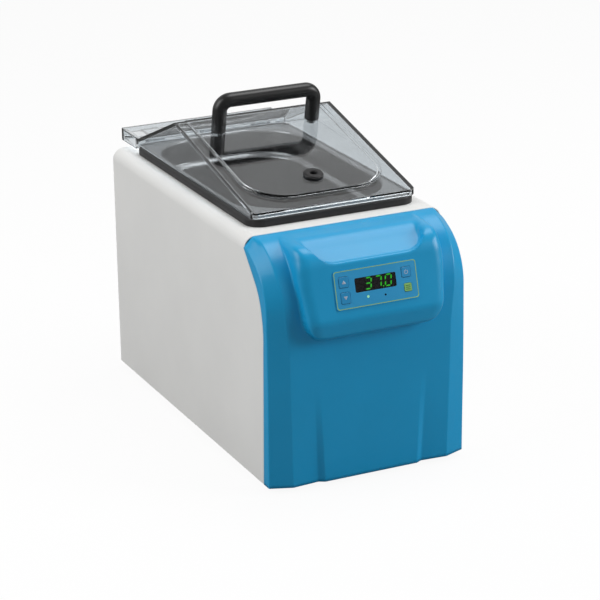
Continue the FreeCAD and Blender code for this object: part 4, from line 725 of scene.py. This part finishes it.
# %% Eased copies
def eased(name, made, body, width, segments=2, angle=35, join=True):
    """Copy of a CAD node with eased edges, which stands for it; join merges flat triangles."""
    source = nodes[name]
    slot = slots[name]
    mesh = source.data.copy()
    mesh.name = made
    mesh.materials.clear()
    work = bmesh.new()
    work.from_mesh(mesh)
    bmesh.ops.remove_doubles(work, verts=work.verts, dist=2e-6)
    if join:
        bmesh.ops.dissolve_limit(work, angle_limit=math.radians(0.3), verts=work.verts,
                                 edges=work.edges)
    for face in work.faces:
        face.smooth = True
    work.to_mesh(mesh)
    work.free()
    for attribute in [a.name for a in mesh.attributes if "normal" in a.name]:
        mesh.attributes.remove(mesh.attributes[attribute])
    piece = bpy.data.objects.new(made, mesh)
    bpy.context.scene.collection.objects.link(piece)
    bevel = piece.modifiers.new("eased", "BEVEL")
    bevel.limit_method, bevel.angle_limit = "ANGLE", math.radians(angle)
    bevel.width, bevel.segments, bevel.use_clamp_overlap = width * MM, segments, False
    flat = piece.modifiers.new("flat faces", "WEIGHTED_NORMAL")
    flat.mode, flat.weight, flat.keep_sharp = "FACE_AREA", 100, True
    return finish_piece(piece, body, slot, name, smooth_angle=angle)

eased("lid_shell", "clear_lid", "lid", 0.5, angle=25, join=False)
for name, made, body, width in (("outer_housing", "housing_wrap", "base", 0.35),
                                ("rear_panel", "rear_plate", "base", 0.35),
                                ("hinge_base", "hinge_carrier", "base", 0.5),
                                ("mains_inlet", "inlet_body", "base", 0.4),
                                ("fuse_drawer", "fuse_tray", "fuse_drawer", 0.3),
                                ("key_up", "up_key", "key_up", 0.25),
                                ("key_down", "down_key", "key_down", 0.25),
                                ("key_set", "set_key", "key_set", 0.25),
                                ("key_power", "power_key", "key_power", 0.25)):
    eased(name, made, body, width)
print("eased copies made")

# %% [markdown]
# The handle is a round bar bent twice and screwed to the lid from below.  A ring of points
# is carried along the bent path; the path lies in one plane, so the direction square to
# that plane never turns and the bar cannot twist.

# %% Handle
BAR_BEND = 9.0
FLATNESS = 0.92                 # power that makes the round bar very slightly square
END_SIZE = 0.93                 # the bar's ends are drawn in, then closed
port = next(m for m in frame["record"]["mounts"] if m["name"] == "lid_port")
UP = np.array(port["axis"], float)
ALONG = np.array([0.0, UP[2], -UP[1]])
foot, crown = spread("handle", UP)
front_side, rear_side = spread("handle", ALONG)
bar = (rear_side - front_side) / 2
span = float(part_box("handle")[1].x) / MM - bar
path = rounded_path([(-span, foot, 0), (-span, crown - bar, BAR_BEND),
                     (span, crown - bar, BAR_BEND), (span, foot, 0)], steps=14)
path = np.concatenate([np.linspace(path[0], path[1], 8)[:-1], path[1:16],
                       np.linspace(path[15], path[16], 24)[1:-1], path[16:31],
                       np.linspace(path[30], path[31], 8)[1:]])
way = np.gradient(path, axis=0)
way /= np.linalg.norm(way, axis=1)[:, None]
across = np.stack([-way[:, 1], way[:, 0]], -1)
size = np.concatenate([[0.0, END_SIZE], np.ones(len(path)), [END_SIZE, 0.0]])
path = np.concatenate([path[:1], path[:1], path, path[-1:], path[-1:]])
across = np.concatenate([across[:1], across[:1], across, across[-1:], across[-1:]])
angle = np.linspace(0, 2 * math.pi, 41)[:-1]
wide = np.sign(np.cos(angle)) * np.abs(np.cos(angle)) ** FLATNESS * bar
deep = np.sign(np.sin(angle)) * np.abs(np.sin(angle)) ** FLATNESS * bar
flat = path[:, None] + across[:, None] * (wide[None] * size[:, None])[..., None]
through = (front_side + rear_side) / 2 + deep[None] * size[:, None]
bar_grid = (flat[..., :1] * np.array([1.0, 0, 0]) + flat[..., 1:] * UP + through[..., None] * ALONG)
rows, columns = bar_grid.shape[:2]
grip = grid_object("lid_handle", bar_grid)
finish_piece(tidy(grip), "lid", "handle_black", "handle", smooth_angle=60)
print("handle:", rows, "rings of", columns)

# %% Grommet
BORE, NECK, COLLAR, COLLAR_T = 3.0, 5.4, 8.8, 2.6   # radii, and the collars' thickness
middle = np.array(port["pos_m"], float) / MM
g0, g1 = spread("lid_grommet", UP)
g0, g1 = g0 - middle @ UP, g1 - middle @ UP
outer = float(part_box("lid_grommet")[1].x) / MM
turned = rounded_path([(BORE, g0, 0.5), (COLLAR, g0, 1.1), (COLLAR, g0 + COLLAR_T, 0.7),
                       (NECK, g0 + COLLAR_T, 0.3), (NECK, g1 - COLLAR_T, 0.3),
                       (COLLAR, g1 - COLLAR_T, 0.6), (COLLAR, g1, 1.9), (BORE, g1, 1.4)],
                      steps=6, closed=True)
angle = np.linspace(0, 2 * math.pi, 49)[:-1]
disc = np.cos(angle)[:, None] * np.array([1.0, 0, 0]) + np.sin(angle)[:, None] * ALONG
ring_grid = (middle + turned[:, 0][:, None, None] * disc[None] + turned[:, 1][:, None, None] * UP)
grommet = grid_object("port_grommet", ring_grid, wrap_rows=True)
finish_piece(tidy(grommet), "lid", "gasket_black", "lid_grommet", smooth_angle=60)
print("grommet radius", round(outer, 2), "height", round(g1 - g0, 2))

# %% [markdown]
# The control label is a printed film with a thin yellow-green border, and the keys carry small
# raised symbols.  Each is a thin form standing on the leaning face, so it is drawn flat in
# (u, v) and set up by the face's own two directions.

# %% Symbols on the face
def on_face(flat, height):
    """Places (u, v) at a height above the label's back: x is u, the rest goes up the face."""
    return (flat[..., :1] * np.array([1.0, 0, 0]) + (flat[..., 1:] + face_middle) * FACE_V
            + (face_level + height) * FACE_W)


def pad(name, outline, level, thick, body, slot):
    """Thin pad: an outline drawn in a little at its top and closed by a middle point."""
    middle = outline.mean(axis=0)
    rings = [(0.0, 0.0), (1.0, 0.0), (1.0, thick * 0.7), (0.93, thick), (0.0, thick)]
    grid = np.stack([on_face(middle + (outline - middle) * s, level + h)
                     for s, h in rings])
    return finish_piece(tidy(grid_object(name, grid)), body, slot, smooth_angle=40)


def band(name, outline, width, level, thick, body, slot):
    """Thin closed band along an outline, whose inner edge lies width further in."""
    middle = outline.mean(axis=0)
    reach = np.abs(outline - middle).max(axis=0)
    inner = middle + (outline - middle) * (1 - width / reach)
    grid = np.stack([on_face(outline, level),
                     on_face(outline, level + thick),
                     on_face(inner, level + thick),
                     on_face(inner, level)])
    piece = grid_object(name, grid, wrap_rows=True)
    return finish_piece(tidy(piece), body, slot, smooth_angle=40)


def inked(piece, ink):
    """Gives a printed mark an ink, a finish that is none of the record's slots."""
    piece.data.materials[0] = finishes[ink]
    del piece["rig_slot"]
    return piece

finish("border_lime", "#a4d47c", 0.35, bump=0.004, scale=2500.0, tone=0.05)
finish("symbol_pale", "#b4c4d8", 0.40, bump=0.004, scale=2500.0, tone=0.05)
finish("symbol_dark", "#3c6b3a", 0.40, bump=0.004, scale=2500.0, tone=0.05)
label_top = spread("control_label", FACE_W)[1] - face_level
label_x = float(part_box("control_label")[1].x) / MM
label_v = (spread("control_label", FACE_V)[1] - spread("control_label", FACE_V)[0]) / 2
MARGIN = 0.5                    # label's edge to its border
SINK = 0.05                     # how deep the marks are set in, so that no gap shows
MARK_T = 0.12
edge_x, edge_v = label_x - MARGIN, label_v - MARGIN
corner = rounded_path([(-edge_x, -edge_v, 2.2), (edge_x, -edge_v, 2.2), (edge_x, edge_v, 2.2),
                       (-edge_x, edge_v, 2.2)], steps=8, closed=True)
border = band("label_border", corner, 0.55, label_top - SINK, 0.11, "base", "symbol_pale")
inked(border, "border_lime")


def key_middle(name):
    """Middle of a key's cap on the face."""
    x = (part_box(name)[0].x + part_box(name)[1].x) / 2 / MM
    return np.array([x, sum(spread(name, FACE_V)) / 2 - face_middle])

key_top = spread("key_up", FACE_W)[1] - face_level
for name, flip in (("key_up", 1.0), ("key_down", -1.0)):
    tri = rounded_path([(-1.9, -1.45 * flip, 0.3), (1.9, -1.45 * flip, 0.3), (0, 1.65 * flip, 0.3)],
                       steps=4, closed=True)
    made = pad(f"{name}_mark", tri + key_middle(name), key_top - SINK, 0.13, name, "key_blue")
    inked(made, "symbol_pale")
at = key_middle("key_set")
for count, row in enumerate((-1.5, 0.0, 1.5)):
    line = rounded_path([(-2.1, row - 0.28, 0.2), (2.1, row - 0.28, 0.2), (2.1, row + 0.28, 0.2),
                         (-2.1, row + 0.28, 0.2)], steps=3, closed=True)
    made = pad(f"key_set_line_{count}", line + at, key_top - SINK, MARK_T, "key_set", "key_lime")
    inked(made, "symbol_dark")

at = key_middle("key_power")
angle = np.radians(np.linspace(125.0, 415.0, 33))
outer_arc = np.stack([np.cos(angle), np.sin(angle)], -1) * 1.75
ring_path = np.concatenate([outer_arc, outer_arc[::-1] * 0.72])
stroke = rounded_path([(-0.24, 0.2, 0.1), (0.24, 0.2, 0.1), (0.24, 2.0, 0.1), (-0.24, 2.0, 0.1)],
                      steps=3, closed=True)
power_top = spread("key_power", FACE_W)[1] - face_level


def plate(name, outline, level, thick, body):
    """Thin plate with an outline that may be hollow: two copies of it joined by a wall."""
    count = len(outline)
    points = np.concatenate([on_face(outline, level), on_face(outline, level + thick)]) * MM
    half = count // 2
    i = np.arange(half - 1)
    strip = np.stack([i, i + 1, count - 2 - i, count - 1 - i], -1)
    j = np.arange(count)
    wall = np.stack([j, (j + 1) % count, count + (j + 1) % count, count + j], -1)
    faces = np.concatenate([strip[:, ::-1], strip + count, wall])
    piece = mesh_object(name, points.tolist(), faces.tolist())
    finish_piece(tidy(piece), body, "key_blue", smooth_angle=40)
    return inked(piece, "symbol_pale")

plate("key_power_ring", ring_path + at, power_top - SINK, MARK_T, "key_power")
made = pad("key_power_bar", stroke + at, power_top - SINK, MARK_T, "key_power", "key_blue")
inked(made, "symbol_pale")
print("face marks at height", round(float(key_top), 2), round(float(power_top), 2))

# %% [markdown]
# The bath stands on a plain pale floor that runs off into a white background.  Camera rays,
# and the rays that mirror or pass through clear plastic, see white; the other rays see a
# dimmer sky, so that the object is lit gently and its shadow stays on the floor.  A plain
# screen far behind it is what the slopes of the clear lid mirror; its back is see-through.

# %% Floor and sky
SKY = 0.24                      # plain light from all round
MIRRORED = 0.75                 # the screen's light where a glossy piece mirrors it
WHITE = (1.0, 1.0, 1.0, 1.0)


def seen_rays(tree):
    """Light path of a tree, and a socket that is 1 for camera rays and rays through plastic."""
    path_info = node(tree, "ShaderNodeLightPath")
    seen = node(tree, "ShaderNodeMath", {0: path_info.outputs["Is Camera Ray"],
                1: path_info.outputs["Is Transmission Ray"]}, operation="MAXIMUM")
    return path_info, seen.outputs["Value"]

floor = mesh_object("floor", [(-6, -6, 0), (6, -6, 0), (6, 6, 0), (-6, 6, 0)], [(0, 1, 2, 3)])
ground, tree, paper = new_material("floor_white")
paper.inputs["Base Color"].default_value = (0.30, 0.30, 0.30, 1.0)
paper.inputs["Roughness"].default_value = 0.9
paper.inputs["Specular IOR Level"].default_value = 0.1
glow = node(tree, "ShaderNodeEmission", {"Color": WHITE, "Strength": 1.0})
shaded = node(tree, "ShaderNodeBsdfDiffuse", {"Color": (0.95, 0.95, 0.95, 1.0)})
white_floor = node(tree, "ShaderNodeMixShader", {0: 0.93, 1: shaded.outputs["BSDF"],
                   2: glow.outputs["Emission"]})
path_info, seen = seen_rays(tree)
mixed = node(tree, "ShaderNodeMixShader", {0: seen, 1: paper.outputs["BSDF"],
             2: white_floor.outputs["Shader"]})
tree.links.new(mixed.outputs["Shader"], tree.nodes["Material Output"].inputs["Surface"])
floor.data.materials.append(ground)

backdrop = mesh_object("backdrop", [(-4, 2.6, 0), (4, 2.6, 0), (4, 2.6, 3.2), (-4, 2.6, 3.2)],
                       [(0, 1, 2, 3)])
screen, tree, _ = new_material("backdrop_white")
path_info, seen = seen_rays(tree)
mirrored = remap(tree, path_info.outputs["Is Glossy Ray"], 0.0, 1.0, SKY, MIRRORED)
level = node(tree, "ShaderNodeMath", {0: seen, 1: mirrored},
             operation="MAXIMUM")
glow = node(tree, "ShaderNodeEmission", {"Color": WHITE, "Strength": level.outputs["Value"]})
side = node(tree, "ShaderNodeNewGeometry")
open_back = node(tree, "ShaderNodeMixShader", {0: side.outputs["Backfacing"],
                 1: glow.outputs["Emission"],
                 2: node(tree, "ShaderNodeBsdfTransparent").outputs["BSDF"]})
tree.links.new(open_back.outputs["Shader"], tree.nodes["Material Output"].inputs["Surface"])
backdrop.data.materials.append(screen)

world = bpy.data.worlds.new("studio")
world.use_nodes = True
bpy.context.scene.world = world
tree = world.node_tree
sky = tree.nodes["Background"]
sky.inputs["Color"].default_value = WHITE
sky.inputs["Strength"].default_value = SKY
white = node(tree, "ShaderNodeBackground", {"Color": WHITE, "Strength": 1.0})
path_info, seen = seen_rays(tree)
mixed = node(tree, "ShaderNodeMixShader", {0: seen, 1: sky.outputs["Background"],
             2: white.outputs["Background"]})
tree.links.new(mixed.outputs["Shader"], tree.nodes["World Output"].inputs["Surface"])
print("floor and sky made")

# %% [markdown]
# Three soft boxes light it: one high on the left for the painted side, one in front on the
# right for the moulding, and one overhead that draws the highlights on the lid and the scoop.

# %% Lamps
def soft_box(name, place, target, width, length, watts):
    """Area lamp at a place, turned to face a target."""
    data = bpy.data.lights.new(name, "AREA")
    data.shape, data.size, data.size_y, data.energy = "RECTANGLE", width, length, watts
    lamp = bpy.data.objects.new(name, data)
    lamp.location = place
    lamp.rotation_mode = "QUATERNION"
    lamp.rotation_quaternion = (Vector(target) - Vector(place)).to_track_quat("-Z", "Y")
    bpy.context.scene.collection.objects.link(lamp)
    return lamp

soft_box("left_box", (-1.5, 0.1, 1.05), (0, 0, 0.12), 1.2, 1.4, 17.5)
soft_box("right_box", (1.7, -1.1, 0.9), (0, 0, 0.12), 1.2, 0.9, 23.0)
soft_box("top_box", (0.65, 0.15, 1.85), (0, 0, 0.2), 1.0, 1.0, 13.5)

# %% [markdown]
# The camera stands well back with a long lens, so that the lines of the housing run nearly
# parallel.  Its place follows from an azimuth, an elevation, a distance and a small roll.

# %% Camera
azimuth, elevation, roll = math.radians(-25.26), math.radians(19.78), math.radians(-0.79)
distance, target = 2.13646, Vector((0.01587, 0.0, 0.10089))
back = Vector((math.sin(azimuth) * math.cos(elevation), -math.cos(azimuth) * math.cos(elevation),
               math.sin(elevation)))
right = Vector((math.cos(azimuth), math.sin(azimuth), 0.0))
up = back.cross(right)
right, up = (right * math.cos(roll) + up * math.sin(roll),
             up * math.cos(roll) - right * math.sin(roll))
camera_data = bpy.data.cameras.new("camera")
camera_data.lens, camera_data.sensor_width = 145.38, 36.0
camera_data.clip_start, camera_data.clip_end = 0.05, 50.0
camera = bpy.data.objects.new("camera", camera_data)
turn = Matrix((right, up, back)).transposed().to_4x4()
turn.translation = target + back * distance
camera.matrix_world = turn
bpy.context.scene.collection.objects.link(camera)
bpy.context.scene.camera = camera
bpy.context.scene.view_settings.view_transform = "Standard"
print("camera at", [round(v, 3) for v in camera.location])
